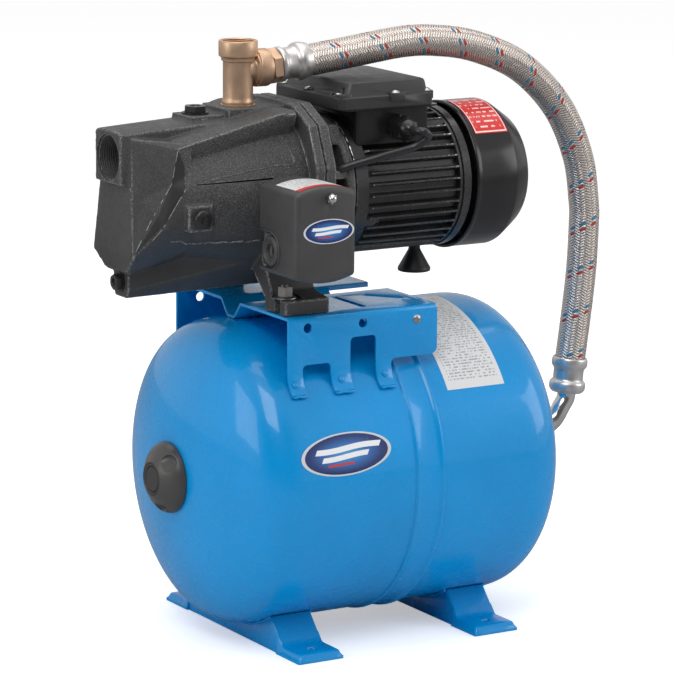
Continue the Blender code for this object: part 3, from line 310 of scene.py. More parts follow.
def bevelled(shape, width, segments=2, angle=35):
    bmesh.ops.dissolve_limit(shape, angle_limit=radians(1.0), verts=shape.verts,
                             edges=shape.edges)
    return modified(shape, ("BEVEL", {
        "width": width, "segments": segments, "limit_method": "ANGLE",
        "angle_limit": radians(angle), "use_clamp_overlap": True, "miter_outer": "MITER_ARC"}))


def softened(shape, voxel, rounds):
    """Melts hard joints into a cast surface."""
    return modified(shape, ("REMESH", {"mode": "VOXEL", "voxel_size": voxel, "adaptivity": 0.0}),
                    ("SMOOTH", {"factor": 0.5, "iterations": rounds}))


def join(*shapes):
    """Puts several closed shapes into one mesh."""
    out = bmesh.new()
    for shape in shapes:
        mesh = bpy.data.meshes.new("part")
        fix_normals(shape).to_mesh(mesh)
        shape.free()
        out.from_mesh(mesh)
        bpy.data.meshes.remove(mesh)
    return out


def hull(points):
    shape = bmesh.new()
    for point in points:
        shape.verts.new(point)
    bmesh.ops.convex_hull(shape, input=shape.verts)
    loose = [vert for vert in shape.verts if not vert.link_faces]
    bmesh.ops.delete(shape, geom=loose, context="VERTS")
    return fix_normals(shape)


def both_sides(points):
    """The 3D points and their mirror images across the XZ plane."""
    return list(points) + [(x, -y, z) for x, y, z in points]


def with_mirror(half, middle=()):
    """Outline from one half: the other half is its mirror image in the first coordinate."""
    return half + list(middle) + [(-first, second) for first, second in reversed(half)]


def span(side, near, far):
    """The two distances on one side of zero, in rising order."""
    return sorted((side * near, side * far))


def about_shaft(shape, angle):
    bmesh.ops.rotate(shape, cent=SHAFT, matrix=Matrix.Rotation(angle, 3, "X"), verts=shape.verts)
    return shape


def put(name, shape, material, replaces=None, body="root", sharp=40, second=None):
    """Makes the finished object; edges steeper than sharp degrees stay hard."""
    mesh = bpy.data.meshes.new(name)
    fix_normals(shape).to_mesh(mesh)
    shape.free()
    mesh.materials.append(material)
    if second:
        mesh.materials.append(second)
    mesh.shade_smooth()
    if sharp < 180:
        mesh.set_sharp_from_angle(angle=radians(sharp))
    ob = bpy.data.objects.new(name, mesh)
    bpy.context.scene.collection.objects.link(ob)
    ob.location = OFFSET
    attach(ob, body)
    if replaces:
        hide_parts(replaces)


# ---------------------------------------------------------------- shader helpers
def operator(operation, swap=False):
    return lambda self, other: math_node(operation, *((other, self) if swap else (self, other)))


class Value:
    """Shader output that takes Python arithmetic: each operation adds a Math node."""

    def __init__(self, socket):
        self.socket = socket

    def __abs__(self):
        return math_node("ABSOLUTE", self)

    __add__ = operator("ADD")
    __sub__ = operator("SUBTRACT")
    __rsub__ = operator("SUBTRACT", swap=True)
    __mul__ = operator("MULTIPLY")
    __mod__ = operator("FLOORED_MODULO")
    __lt__ = operator("LESS_THAN")
    __gt__ = operator("GREATER_THAN")


def feed(socket, value):
    """Links a Value to an input, or sets a number, colour or vector on it."""
    if isinstance(value, Value):
        socket.id_data.links.new(value.socket, socket)
    else:
        socket.default_value = (*value, 1.0) if socket.type == "RGBA" else value


def add_node(tree, kind, inputs=None, **settings):
    node = tree.nodes.new(kind)
    for key, value in settings.items():
        setattr(node, key, value)
    for key, value in (inputs or {}).items():
        feed(node.inputs[key], value)
    return node


def math_node(operation, *values, **settings):
    tree = next(value.socket.id_data for value in values if isinstance(value, Value))
    node = add_node(tree, "ShaderNodeMath", dict(enumerate(values)), operation=operation,
                    **settings)
    return Value(node.outputs[0])


def remap(value, span, to=(0.0, 1.0), **settings):
    """Carries the span of a value linearly to another span, clamped at its ends."""
    inputs = {"From Min": span[0], "From Max": span[1], "To Min": to[0], "To Max": to[1],
              "Value": value}
    node = add_node(value.socket.id_data, "ShaderNodeMapRange", inputs, **settings)
    return Value(node.outputs["Result"])


def mix(factor, first, second):
    # inputs 0, 6 and 7 and output 2 are the ones a colour mix uses
    node = add_node(factor.socket.id_data, "ShaderNodeMix", data_type="RGBA")
    for index, value in ((0, factor), (6, first), (7, second)):
        feed(node.inputs[index], value)
    return Value(node.outputs[2])


def bump(height, strength, distance, normal=None):
    inputs = {"Strength": strength, "Distance": distance, "Height": height}
    if normal is not None:
        inputs["Normal"] = normal
    node = add_node(height.socket.id_data, "ShaderNodeBump", inputs)
    return Value(node.outputs["Normal"])


def tint(color, factor):
    return tuple(min(1.0, channel * factor) for channel in color)


class Shader:
    """A Principled material and its node tree."""
    INPUTS = {"color": "Base Color", "rough": "Roughness", "metal": "Metallic",
              "coat": "Coat Weight", "coat_rough": "Coat Roughness", "normal": "Normal",
              "specular": "Specular IOR Level", "coat_normal": "Coat Normal",
              "glow": "Emission Color", "glow_strength": "Emission Strength"}

    def __init__(self, name):
        self.material = bpy.data.materials.new(name)
        self.material.use_nodes = True
        self.tree = self.material.node_tree

    @cached_property
    def coordinates(self):
        return add_node(self.tree, "ShaderNodeTexCoord").outputs

    def split(self, source):
        """The x, y and z of the "Object" or "UV" coordinates."""
        node = add_node(self.tree, "ShaderNodeSeparateXYZ", {0: Value(self.coordinates[source])})
        return [Value(output) for output in node.outputs]

    def noise(self, scale, detail=3.0, rough=0.5, stretch=None, vector=None):
        vector = vector or Value(self.coordinates["Object"])
        if stretch:
            mapping = add_node(self.tree, "ShaderNodeMapping",
                               {"Scale": stretch, "Vector": vector})
            vector = Value(mapping.outputs[0])
        inputs = {"Scale": scale, "Detail": detail, "Roughness": rough, "Vector": vector}
        return Value(add_node(self.tree, "ShaderNodeTexNoise", inputs).outputs["Fac"])

    def mottled(self, base, dark, light, scale, detail=3.0, span=(0.3, 0.7)):
        """Base colour wandering between two tints."""
        return mix(remap(self.noise(scale, detail), span), tint(base, dark), tint(base, light))

    def uneven(self, low, high, scale, detail=3.0):
        """Roughness wandering between two values."""
        return remap(self.noise(scale, detail), (0.3, 0.7), (low, high))

    def pointiness(self, span):
        geometry = add_node(self.tree, "ShaderNodeNewGeometry")
        return remap(Value(geometry.outputs["Pointiness"]), span)

    def worn_and_lit_edges(self, span):
        """Mask that is 1 on sharp outward edges, broken up by noise."""
        return self.pointiness(span) * remap(self.noise(scale=500, detail=2), (0.42, 0.60))

    def finish(self, **values):
        principled = self.tree.nodes["Principled BSDF"]
        for key, value in values.items():
            feed(principled.inputs[self.INPUTS[key]], value)
        return self.material


# ---------------------------------------------------------------- materials
def enamel():
    shader = Shader("blue_enamel")
    color = shader.mottled((0.0, 0.285, 0.68), dark=0.94, light=1.05, scale=9, detail=2,
                           span=(0.35, 0.65))
    flecks = remap(shader.noise(scale=260), span=(0.70, 0.85), to=(0.0, 0.25))
    color = mix(flecks, color, (0.03, 0.33, 0.70))
    wave = shader.noise(scale=26, detail=2, rough=0.4)
    normal = bump(shader.noise(scale=210, detail=2, rough=0.4), strength=0.10, distance=0.0004)
    return shader.finish(color=color, coat=0.5, coat_rough=0.04, specular=0.28,
                         rough=shader.uneven(0.20, 0.34, scale=60, detail=4),
                         normal=bump(wave, strength=0.08, distance=0.001, normal=normal),
                         coat_normal=bump(wave, strength=0.05, distance=0.001))


def cast_iron(name, base, grain_glint, sandy=1.0):
    """Painted casting: sandy above the moulding line, smoother below it; its pale grains are partly
    painted glints, thicker towards the top of the bell, and its edges carry painted highlights with
    some wear.
    """
    shader = Shader(name)
    grain = shader.noise(scale=1150, detail=2, rough=0.6)
    color = shader.mottled(base, dark=0.85, light=1.25, scale=24)
    x, _, z = shader.split("Object")
    above = remap(z, span=(0.3865, 0.3925))
    bell = (remap(x, span=(-0.208, -0.196), to=(0.45, 1.0))
            * remap(z, span=(0.39, 0.425), to=(0.35, 1.0)))
    where = above * bell * sandy
    # pale grains: partly painted glints where the surface catches light, more of them higher up on
    # the bell
    grain_glints = remap(grain, span=(0.50, 0.66)) * where
    color = mix(grain_glints * 0.85, color, (grain_glint, grain_glint, grain_glint * 1.01))
    # convex edges lightened: painted highlights, with some wear
    color = mix(shader.worn_and_lit_edges((0.508, 0.530)) * 0.8, color, (0.20, 0.20, 0.20))
    coarse = shader.noise(scale=330, rough=0.6)
    normal = bump(coarse, strength=0.35, distance=0.0005)
    normal = bump(grain * where, strength=0.9, distance=0.0004, normal=normal)
    return shader.finish(color=color, normal=normal, specular=0.45,
                         rough=shader.uneven(0.42, 0.60, scale=180, detail=4))


def black_paint(name, base, rough, relief, coat, wear=True):
    shader = Shader(name)
    color = shader.mottled(base, dark=0.8, light=1.5, scale=40)
    if wear:
        color = mix(shader.worn_and_lit_edges((0.56, 0.66)), color, (0.16, 0.16, 0.16))
    normal = bump(shader.noise(scale=520, rough=0.55), strength=relief, distance=0.00025)
    normal = bump(shader.noise(scale=120, detail=2), strength=relief * 0.6, distance=0.0005,
                  normal=normal)
    return shader.finish(color=color, coat=coat, coat_rough=0.15, normal=normal,
                         rough=shader.uneven(rough * 0.8, rough * 1.25, scale=90, detail=4))


def plastic(name, base, rough, grain=900.0, relief=0.12, scratches=0.0):
    shader = Shader(name)
    color = shader.mottled(base, dark=0.90, light=1.12, scale=30)
    if scratches:
        lines = shader.noise(scale=70, detail=5, rough=0.7, stretch=(1.0, 14.0, 3.0))
        color = mix(remap(lines, span=(0.70, 0.74)) * scratches, color, (0.25, 0.25, 0.25))
    normal = bump(shader.noise(grain, detail=2), strength=relief, distance=0.0002)
    normal = bump(shader.noise(scale=35, detail=2), strength=0.05, distance=0.001, normal=normal)
    return shader.finish(color=color, normal=normal,
                         rough=shader.uneven(rough * 0.85, rough * 1.15, scale=140))


def metal(name, base, rough, grain, relief, stain, amount, stretch=None, metallic=1.0):
    """Metal with stained patches (amount of the stain colour) and painted shade in its hollows."""
    shader = Shader(name)
    color = shader.mottled(base, dark=0.88, light=1.08, scale=60, detail=4, span=(0.35, 0.65))
    patches = shader.noise(scale=22, detail=4, rough=0.6)
    color = mix(remap(patches, span=(0.5, 0.72), to=(0.0, amount)), color, stain)
    # painted shade: darker in the hollows
    color = mix(shader.pointiness((0.49, 0.44)) * 0.5, color, tint(base, 0.35))
    normal = bump(shader.noise(grain, rough=0.6, stretch=stretch), relief, distance=0.0003)
    return shader.finish(color=color, metal=metallic, normal=normal,
                         rough=shader.uneven(rough * 0.8, rough * 1.25, scale=150, detail=4))


def braid_material():
    """Woven jacket: U counts the strands round the hose, V counts them along it."""
    shader = Shader("stainless_braid")
    around, along, _ = shader.split("UV")
    strands = (around + along, around - along)
    first, second = (math_node("FLOOR", strand) for strand in strands)
    over = (first + second) % 4.0 < 1.5
    across_first, across_second = (math_node("FRACT", strand) for strand in strands)
    across = across_first * over + across_second * (1.0 - over)
    wires = abs(math_node("SINE", across * (pi * 5)))   # five wires in a strand
    gap = remap(abs(across - 0.5), span=(0.26, 0.48))
    base = (0.86, 0.78, 0.72)
    # wire crowns lighter than their edges: painted highlight
    color = mix(remap(wires, span=(0.0, 0.6)), tint(base, 0.78), base)
    # dark between the strands: painted shade
    color = mix(gap * 0.92, color, (0.10, 0.075, 0.065))
    under = 1.0 - over
    # every sixteenth strand is a blue or a red tracer
    blue, red = (under * math_node("COMPARE", second % 16.0, strand, 0.1)
                 for strand in (2.0, 0.0))
    color = mix(blue, color, (0.02, 0.20, 0.36))
    color = mix(red, color, (0.45, 0.025, 0.02))
    tracer = math_node("MAXIMUM", blue, red)
    return shader.finish(color=color, metal=(1.0 - tracer) * 0.92,
                         rough=shader.uneven(0.28, 0.42, scale=300),
                         normal=bump(wires * (1.0 - gap), strength=0.5, distance=0.0003))


def badge_material():
    """Oval plate: pale rim, blue field with a light centre, pale bars and one short red bar."""
    shader = Shader("badge_print")
    x, y, _ = shader.split("UV")
    x, y = (x - 0.5) * 2.0, (y - 0.5) * 2.0
    radius = math_node("SQRT", x * x + y * y)
    # distance from the centre, colour
    stops = [(0.0, (0.07, 0.33, 0.66, 1)), (0.45, (0.025, 0.15, 0.45, 1)),
             (0.80, (0.006, 0.03, 0.16, 1)), (0.90, (0.004, 0.02, 0.12, 1))]
    field = add_node(shader.tree, "ShaderNodeValToRGB", {"Fac": radius})
    elements = field.color_ramp.elements
    while len(elements) > 1:
        elements.remove(elements[-1])
    elements[0].position, elements[0].color = stops[0]
    for position, color in stops[1:]:
        elements.new(position).color = color

    def band(middle, half, start, stop, wave=0.0):
        height = y - middle
        if wave:
            height = height - math_node("SINE", x * 4.2) * wave
        slanted = x + y * -0.25
        return (abs(height) < half) * ((slanted > start) * (slanted < stop))

    white = math_node("MAXIMUM", band(middle=0.26, half=0.13, start=-0.72, stop=0.70, wave=0.05),
                      band(middle=-0.12, half=0.12, start=-0.50, stop=0.50, wave=0.05))
    color = mix(white, Value(field.outputs["Color"]), (0.86, 0.88, 0.90))
    color = mix(band(middle=-0.46, half=0.055, start=-0.32, stop=0.26), color, (0.55, 0.03, 0.04))
    color = mix(radius > 0.925, color, (0.62, 0.66, 0.70))
    normal = bump(shader.noise(scale=700, detail=2), strength=0.05, distance=0.0001)
    return shader.finish(color=color, rough=shader.uneven(0.18, 0.28, scale=200, detail=2),
                         coat=0.6, normal=normal)


def label_material(name, paper, ink, rows, blocks, border=None, rough=0.35, row_share=0.45,
                   stripe=None, seed=0.0):
    """Printed label: rows of broken strokes, no lettering."""
    shader = Shader(name)
    across, up, _ = shader.split("UV")
    line = math_node("FRACT", up * rows) < row_share
    row = math_node("FLOOR", up * rows)
    stroke = add_node(shader.tree, "ShaderNodeCombineXYZ",
                      {0: across * blocks, 1: row * 7.31 + seed})
    printed = shader.noise(scale=1, detail=4, vector=Value(stroke.outputs[0])) > 0.50
    inner = (across > 0.07) * (across < 0.93) * ((up > 0.06) * (up < 0.94))
    color = mix(line * printed * inner, paper, ink)
    if border:
        edge = math_node("MINIMUM", math_node("MINIMUM", across, 1.0 - across),
                         math_node("MINIMUM", up, 1.0 - up))
        color = mix((edge > 0.020) * (edge < 0.045), color, border)
    if stripe:
        color = mix(up < 0.16, color, stripe)
    return shader.finish(color=color,
                         rough=shader.uneven(rough * 0.85, rough * 1.15, scale=160),
                         normal=bump(shader.noise(scale=420), strength=0.10, distance=0.0001))


BLUE = enamel()
IRON = cast_iron("black_cast_iron", (0.038, 0.038, 0.039), grain_glint=0.17)
# darker copy of the iron for the nose strip: painted shade
IRON_PAINTED_SHADE = cast_iron("black_cast_iron_painted_shade", (0.017, 0.017, 0.018), grain_glint=0.05, sandy=0.0)
IRON_SMOOTH = black_paint("black_cast_iron_plug", (0.011, 0.011, 0.012), rough=0.32, relief=0.10,
                          coat=0.15, wear=False)
# lighter metal for the bright lines along the casing edges: painted highlights, with some
# rubbed-off paint
EDGE_WEAR_AND_HIGHLIGHT = metal("lit_and_rubbed_edge", (0.36, 0.36, 0.36), rough=0.45, grain=1500, relief=0.5,
             stain=(0.10, 0.10, 0.10), amount=0.6, metallic=0.3)
DULL_ZINC = metal("dull_zinc", (0.33, 0.32, 0.31), rough=0.40, grain=700, relief=0.4,
                  stain=(0.12, 0.11, 0.10), amount=0.5)
PAINT = black_paint("black_paint", (0.012, 0.012, 0.013), rough=0.30, relief=0.25, coat=0.25)
COWL = plastic("black_plastic_cowl", (0.011, 0.011, 0.012), rough=0.22, grain=700, relief=0.06,
               scratches=0.5)
BOX = plastic("black_plastic_lid", (0.028, 0.028, 0.029), rough=0.40, relief=0.10)
COVER = plastic("grey_black_plastic", (0.050, 0.050, 0.052), rough=0.46, grain=1100, relief=0.22)
CAP = plastic("valve_cap_plastic", (0.060, 0.058, 0.056), rough=0.36, grain=800)
RUBBER = plastic("rubber", (0.016, 0.016, 0.016), rough=0.42, relief=0.15)
CABLE = plastic("cable_rubber", (0.020, 0.020, 0.021), rough=0.30, grain=1200, relief=0.08)
BRASS = metal("brass", (0.68, 0.46, 0.31), rough=0.42, grain=900, relief=0.35,
              stain=(0.45, 0.30, 0.18), amount=0.3, metallic=0.85)
STEEL = metal("zinc_steel", (0.56, 0.56, 0.55), rough=0.36, grain=500, relief=0.25,
              stain=(0.35, 0.33, 0.29), amount=0.35)
NICKEL = metal("nickel_plate", (0.70, 0.68, 0.67), rough=0.36, grain=900, relief=0.14,
               stain=(0.5, 0.47, 0.43), amount=0.2, metallic=0.9)
CHROME = metal("chrome_plate", (0.72, 0.71, 0.70), rough=0.16, grain=800, relief=0.04,
               stain=(0.5, 0.5, 0.5), amount=0.15)
COPPER = metal("copper", (0.62, 0.30, 0.16), rough=0.40, grain=500, relief=0.2,
               stain=(0.3, 0.15, 0.08), amount=0.3)
SHEETS = metal("laminated_steel", (0.40, 0.40, 0.41), rough=0.42, grain=40, relief=0.5,
               stain=(0.25, 0.22, 0.2), amount=0.3, stretch=(60.0, 1.0, 1.0))
GRAPHITE = plastic("carbon_graphite", (0.03, 0.03, 0.031), rough=0.35, relief=0.1)
CERAMIC = plastic("ceramic", (0.78, 0.75, 0.69), rough=0.25, grain=500, relief=0.05)
WHITE = plastic("white_plastic", (0.70, 0.70, 0.66), rough=0.42, grain=700)
BRAID = braid_material()
BADGE = badge_material()
TANK_LABEL = label_material("tank_label_print", (0.74, 0.75, 0.76), (0.34, 0.36, 0.38),
                            rows=46, blocks=26)
RED_LABEL = label_material("cowl_label_print", (0.72, 0.035, 0.03), (0.93, 0.72, 0.70), rows=9,
                           blocks=9, border=(0.92, 0.80, 0.78), rough=0.3, row_share=0.30)
SWITCH_LABEL = label_material("switch_label_print", (0.72, 0.72, 0.72), (0.45, 0.45, 0.47),
                              rows=9, blocks=20, stripe=(0.62, 0.05, 0.05))

# inside pieces keep their CAD shape and take finished materials
INSIDE = (
    (RUBBER, "tank_diaphragm"),
    (BRASS, "air_valve_stem jet_nozzle impeller switch_nipple valve_pin"),
    (WHITE, "diffuser venturi_tube run_capacitor contact_block"),
    (CERAMIC, "seal_seat"),
    (SHEETS, "stator_core rotor_core"),
    (COPPER, "stator_winding"),
    (STEEL, "front_bearing_outer rear_bearing_outer motor_shaft impeller_nut "
            "front_bearing_inner rear_bearing_inner contact_lever range_nut"),
    (GRAPHITE, "seal_rotating_head"),
    (IRON_SMOOTH, "priming_washer drain_washer"),
)
for finish, names in INSIDE:
    for node_name in names.split():
        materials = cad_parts[node_name].data.materials
        materials.clear()
        materials.append(finish)


# ---------------------------------------------------------------- heads and threads
def hex_head(start, stop, flats, origin, direction, chamfer=0.0008):
    """Hexagonal head with chamfered corners: a turned blank cut to six flats."""
    radius = flats / 2 / cos(pi / 6)
    blank = solid([(start, radius - chamfer), (start + chamfer * 0.6, radius + 0.0001),
                   (stop - chamfer * 0.6, radius + 0.0001), (stop, radius - chamfer)],
                  origin, direction, 48)
    hexagon = rod(start - 0.01, stop + 0.01, radius, origin, direction, 6)
    return combine(blank, ("INTERSECT", hexagon))


def bore_thread(start, stop, root, crest, outer, pitch, origin, direction, seg=64):
    """Sleeve with thread grooves on its bore."""
    profile = [(start, outer), (stop, outer)]
    for k in range(int((stop - start) / pitch), -1, -1):
        along = start + pitch * k
        if along + pitch / 2 <= stop:
            profile.append((along + pitch / 2, root))
        profile.append((along, crest))
    return turned(profile, origin, direction, seg)


def screw_thread(start, stop, root, crest, pitch):
    """Zigzag profile of an outside thread."""
    profile = []
    along = start
    while along < stop - pitch / 2:
        profile += [(along, root), (along + pitch / 2, crest)]
        along += pitch
    return profile + [(stop, root)]


def cross_screw(origin, direction, radius=0.0042, height=0.0016, slot=0.0009):
    """Domed screw head with a cross slot."""
    head = solid([(-0.001, radius * 0.96), (0.0002, radius), (0.0005, radius * 0.95),
                  (height * 0.75, radius * 0.62), (height, radius * 0.25)],
                 origin, direction, 32)
    along, across, other = basis(direction)
    slots = []
    for length, width in ((across, other), (other, across)):
        ring = [Vector(origin) + length * (end * radius * 0.62) + width * (edge * slot / 2)
                for end, edge in ((-1, -1), (1, -1), (1, 1), (-1, 1))]
        slots.append(cut(loft([[point + along * (height - 0.0011) for point in ring],
                               [point + along * (height + 0.002) for point in ring]])))
    return combine(head, *slots)


def washer_screw(origin, flats, height, washer):
    """Small hexagonal screw head on a washer, facing right."""
    head = hex_head(0.0012, height, flats, origin, RIGHT, 0.0004)
    ring = solid([(-0.001, washer * 0.97), (0.0004, washer), (0.0011, washer * 0.95),
                  (0.0013, washer * 0.6)], origin, RIGHT, 32)
    return join(head, ring)


# ---------------------------------------------------------------- tank
def dome(steps, shrink=0.0):
    """End dome as (distance, radius), from the rim to the pole."""
    profile = []
    for k in range(steps + 1):
        angle = pi / 2 * k / steps
        rise = sin(angle) ** (2 / DOME_POWER)
        radius = (TANK_R - shrink) * (cos(angle) ** (2 / DOME_POWER) if k < steps else 0.0)
        crown = CROWN * max(0.0, 1 - (radius / CROWN_R) ** 2) ** 2
        profile.append(((DOME - shrink) * rise + crown, radius))
    return profile


def half_shell(side, hole):
    def dome_part(steps, shrink=0.0):
        return [(side * (TANK_HALF + rise), radius)
                for rise, radius in dome(steps, shrink)[:-1] if radius > hole]
    seam = SEAM_X + side * GAP
    outer = [(seam, TANK_R), (side * 0.06, TANK_R)] + dome_part(44)
    outer += [(side * (TANK_HALF + DOME + CROWN), hole)]
    inner = [(seam, TANK_R - SHELL_T)] + dome_part(10, SHELL_T)
    inner += [(side * (TANK_HALF + DOME + CROWN - SHELL_T), hole)]
    return turned(outer + inner[::-1], TANK, seg=128)


for end, side, hole in (("left", -1, 0.0066), ("right", 1, 0.0171)):
    put(f"tank_{end}_half", half_shell(side, hole), BLUE, f"tank_shell_{end}")

# x, radius: a rolled lip on each side of a flat band
SEAM_BAND = [
    (-0.0082, 0.14505), (-0.0078, 0.1457), (-0.007, 0.1466), (-0.006, 0.1471), (-0.005, 0.1468),
    (-0.0041, 0.1461), (-0.003, 0.1458), (0.0165, 0.1458), (0.018, 0.146), (0.0192, 0.1467),
    (0.0203, 0.1474), (0.0215, 0.1477), (0.0227, 0.1474), (0.0236, 0.1466), (0.0242, 0.1457),
    (0.0244, 0.14505)]
put("tank_seam", turned(SEAM_BAND, TANK, seg=160), BLUE, "tank_seam_band",
    sharp=70)

# threaded socket with a welded flange: x, radius
WATER_PORT = [
    (0.18, 0.0125), (0.18, 0.0166), (0.1899, 0.0166), (0.1899, 0.0236), (0.1906, 0.024),
    (0.1932, 0.0236), (0.194, 0.0215), (0.1944, 0.0166),
    *screw_thread(0.1955, 0.207, root=0.0158, crest=0.0167, pitch=0.0023),
    (0.2085, 0.0158), (0.2085, 0.0125)]
put("water_port", turned(WATER_PORT, TANK, seg=56), STEEL, "water_port_socket")


# ---------------------------------------------------------------- feet
SADDLE_Y = 0.0722    # the tank rests on the foot out to here
SLOPE_END_Y = 0.093  # the top has come down to the pad here


def tank_under(y, clearance):
    """Height of the tank's underside, at a clearance below its skin."""
    radius = TANK_R + clearance
    return TANK_Z - sqrt(radius * radius - y * y)


def foot_top(y):
    """Height of the foot's top face."""
    y = abs(y)
    if y <= SADDLE_Y:
        return tank_under(y, GAP + 0.0005)
    if y <= SLOPE_END_Y:
        top = tank_under(SADDLE_Y, GAP + 0.0005)
        return top + (0.009 - top) * ((y - SADDLE_Y) / (SLOPE_END_Y - SADDLE_Y))
    if y <= 0.0965:
        return 0.009 - (y - SLOPE_END_Y) / 0.0035 * 0.001
    if y <= 0.1235:
        return 0.008
    t = (y - 0.1235) / (0.129 - 0.1235)
    return 0.008 - 0.0054 * (1 - cos(min(1.0, t) * pi / 2)) - 0.0008 * t


FOOT_STATIONS = [
    -0.129, -0.1285, -0.1275, -0.126, -0.1245, -0.1235, -0.118, -0.108, -0.1, -0.0965, -0.0948,
    -0.093, -0.0905, -0.0862, -0.0852, -0.08, -0.0722, -0.0705, -0.064, -0.056, -0.047, -0.038,
    -0.028, -0.018, -0.009]   # y, mirrored for the back half


def foot_ring(middle, half, y):
    """Section of the foot at one y: a rim along the floor and rounded upper edges."""
    top = foot_top(y)
    pad = abs(y) > 0.0857
    low = half if pad else half - 0.0022
    high = min(low - 0.0012, 0.0215 if abs(y) > 0.074 else 0.0223)
    lip = 0.0024 if pad else 0.0004
    edge = 0.0016
    if abs(y) > 0.1275:
        high -= (abs(y) - 0.1275) * 0.9
        low -= (abs(y) - 0.1275) * 0.6
    lip = min(lip, top * 0.7)
    right = [(low, lip), (low - 0.0006, lip + 0.0003),
             (high + 0.0006, max(lip + 0.0004, top - edge * 1.4)), (high, top - edge * 0.6),
             (high - edge * 0.5, top - edge * 0.12), (high - edge, top), (0.5 * high, top)]
    ring = [(-low, 0), (low, 0)] + with_mirror(right, [(0, top)])
    return [(middle + x, y, z) for x, z in ring]


def foot(name, x0, x1, replaces):
    middle, half = (x0 + x1) / 2, (x1 - x0) / 2
    stations = FOOT_STATIONS + [0.0] + [-y for y in reversed(FOOT_STATIONS)]
    body = loft([foot_ring(middle, half, y) for y in stations])
    hollow = [(-0.084, -0.005), (-0.084, 0.005), (-0.07, 0.0245)]
    hollow += [(y, tank_under(y, GAP) - 0.003) for y in (-0.066, -0.05, -0.034, -0.017)]
    hollow = with_mirror(hollow, [(0, tank_under(0, GAP) - 0.003)])
    steps = [cut(prism(hollow, "X", middle - 0.02, middle + 0.02))]
    for side in SIDES:
        steps.append(cut(solid([(-0.004, 0.0034), (0.0066, 0.0034), (0.0085, 0.0048),
                                (0.012, 0.0048)], (middle, side * 0.11, 0), UP, 32)))
    body = combine(body, *steps)
    # weld beads where the foot meets the tank
    beads = []
    for side in SIDES:
        line = []
        for k in range(29):
            y = -0.0715 + 0.143 * k / 28
            z = tank_under(y, GAP + 0.0002) - 0.0006 + 0.0003 * sin(k * 2.1)
            line.append((middle + side * 0.0222, y, z))
        beads.append(swept(line, [0.0013 + 0.0003 * sin(k * 1.7) for k in range(29)], 8))
    put(name, join(body, *beads), BLUE, replaces, sharp=38)


foot("left_foot", -0.1232, -0.0745, "foot_left")
foot("right_foot", 0.0705, 0.119, "foot_right")


# ---------------------------------------------------------------- platform bracket
def rounded_rect(x0, x1, z0, z1, radius, corners=(1, 1, 1, 1)):
    """Corner order: low left, low right, high right, high left; 0 leaves one sharp."""
    outline = []
    places = ((x0, z0, 180), (x1, z0, 270), (x1, z1, 0), (x0, z1, 90))
    for (x, z, start), is_round in zip(places, corners):
        if not is_round:
            outline.append((x, z))
            continue
        centre_x = x + (radius if x == x0 else -radius)
        centre_z = z + (radius if z == z0 else -radius)
        for k in range(6):
            angle = radians(start + 90 * k / 5)
            outline.append((centre_x + radius * cos(angle), centre_z + radius * sin(angle)))
    return outline


def offset_profile(points, distance):
    """The open profile moved sideways by a distance."""
    out = []
    last = len(points) - 1
    for i, point in enumerate(points):
        before, after = Vector(points[max(i - 1, 0)]), Vector(points[min(i + 1, last)])
        here = Vector(point)
        coming = (here - before).normalized() if i else (after - here).normalized()
        going = (after - here).normalized() if i < last else coming
        first, second = Vector((coming.y, -coming.x)), Vector((going.y, -going.x))
        normal = (first + second).normalized()
        out.append(tuple(here + normal * (distance / max(0.5, normal.dot(first)))))
    return out


# y, z of the front half: leg tip, skirt, rounded shoulder, top, and the V trough in the middle
PLATFORM_HALF = [
    (-0.116, 0.2512), (-0.1136, 0.2532), (-0.1112, 0.2562), (-0.1092, 0.26), (-0.1078, 0.2645),
    (-0.1072, 0.269), (-0.107, 0.274), (-0.107, 0.3178),
    *((-0.107 + 0.0032 * (1 - cos(radians(k))), PLAT_Z - 0.0032 * (1 - sin(radians(k))))
      for k in (22, 45, 68, 90)),
    (-0.019, PLAT_Z), (-0.0176, 0.3207), (-0.0164, 0.3196), (-0.007, 0.3082), (-0.0058, 0.3071),
    (-0.0044, 0.3066)]
# x, z of the opening right of the last leg, up to the short part of the skirt
RIGHT_OPENING = [
    (-0.0135, 0.23), (0.06, 0.23), (0.06, 0.2741), (0.0365, 0.2741), (-0.01, 0.2738),
    (-0.0115, 0.2733), (-0.0127, 0.2722), (-0.0133, 0.2708), (-0.0135, 0.269)]


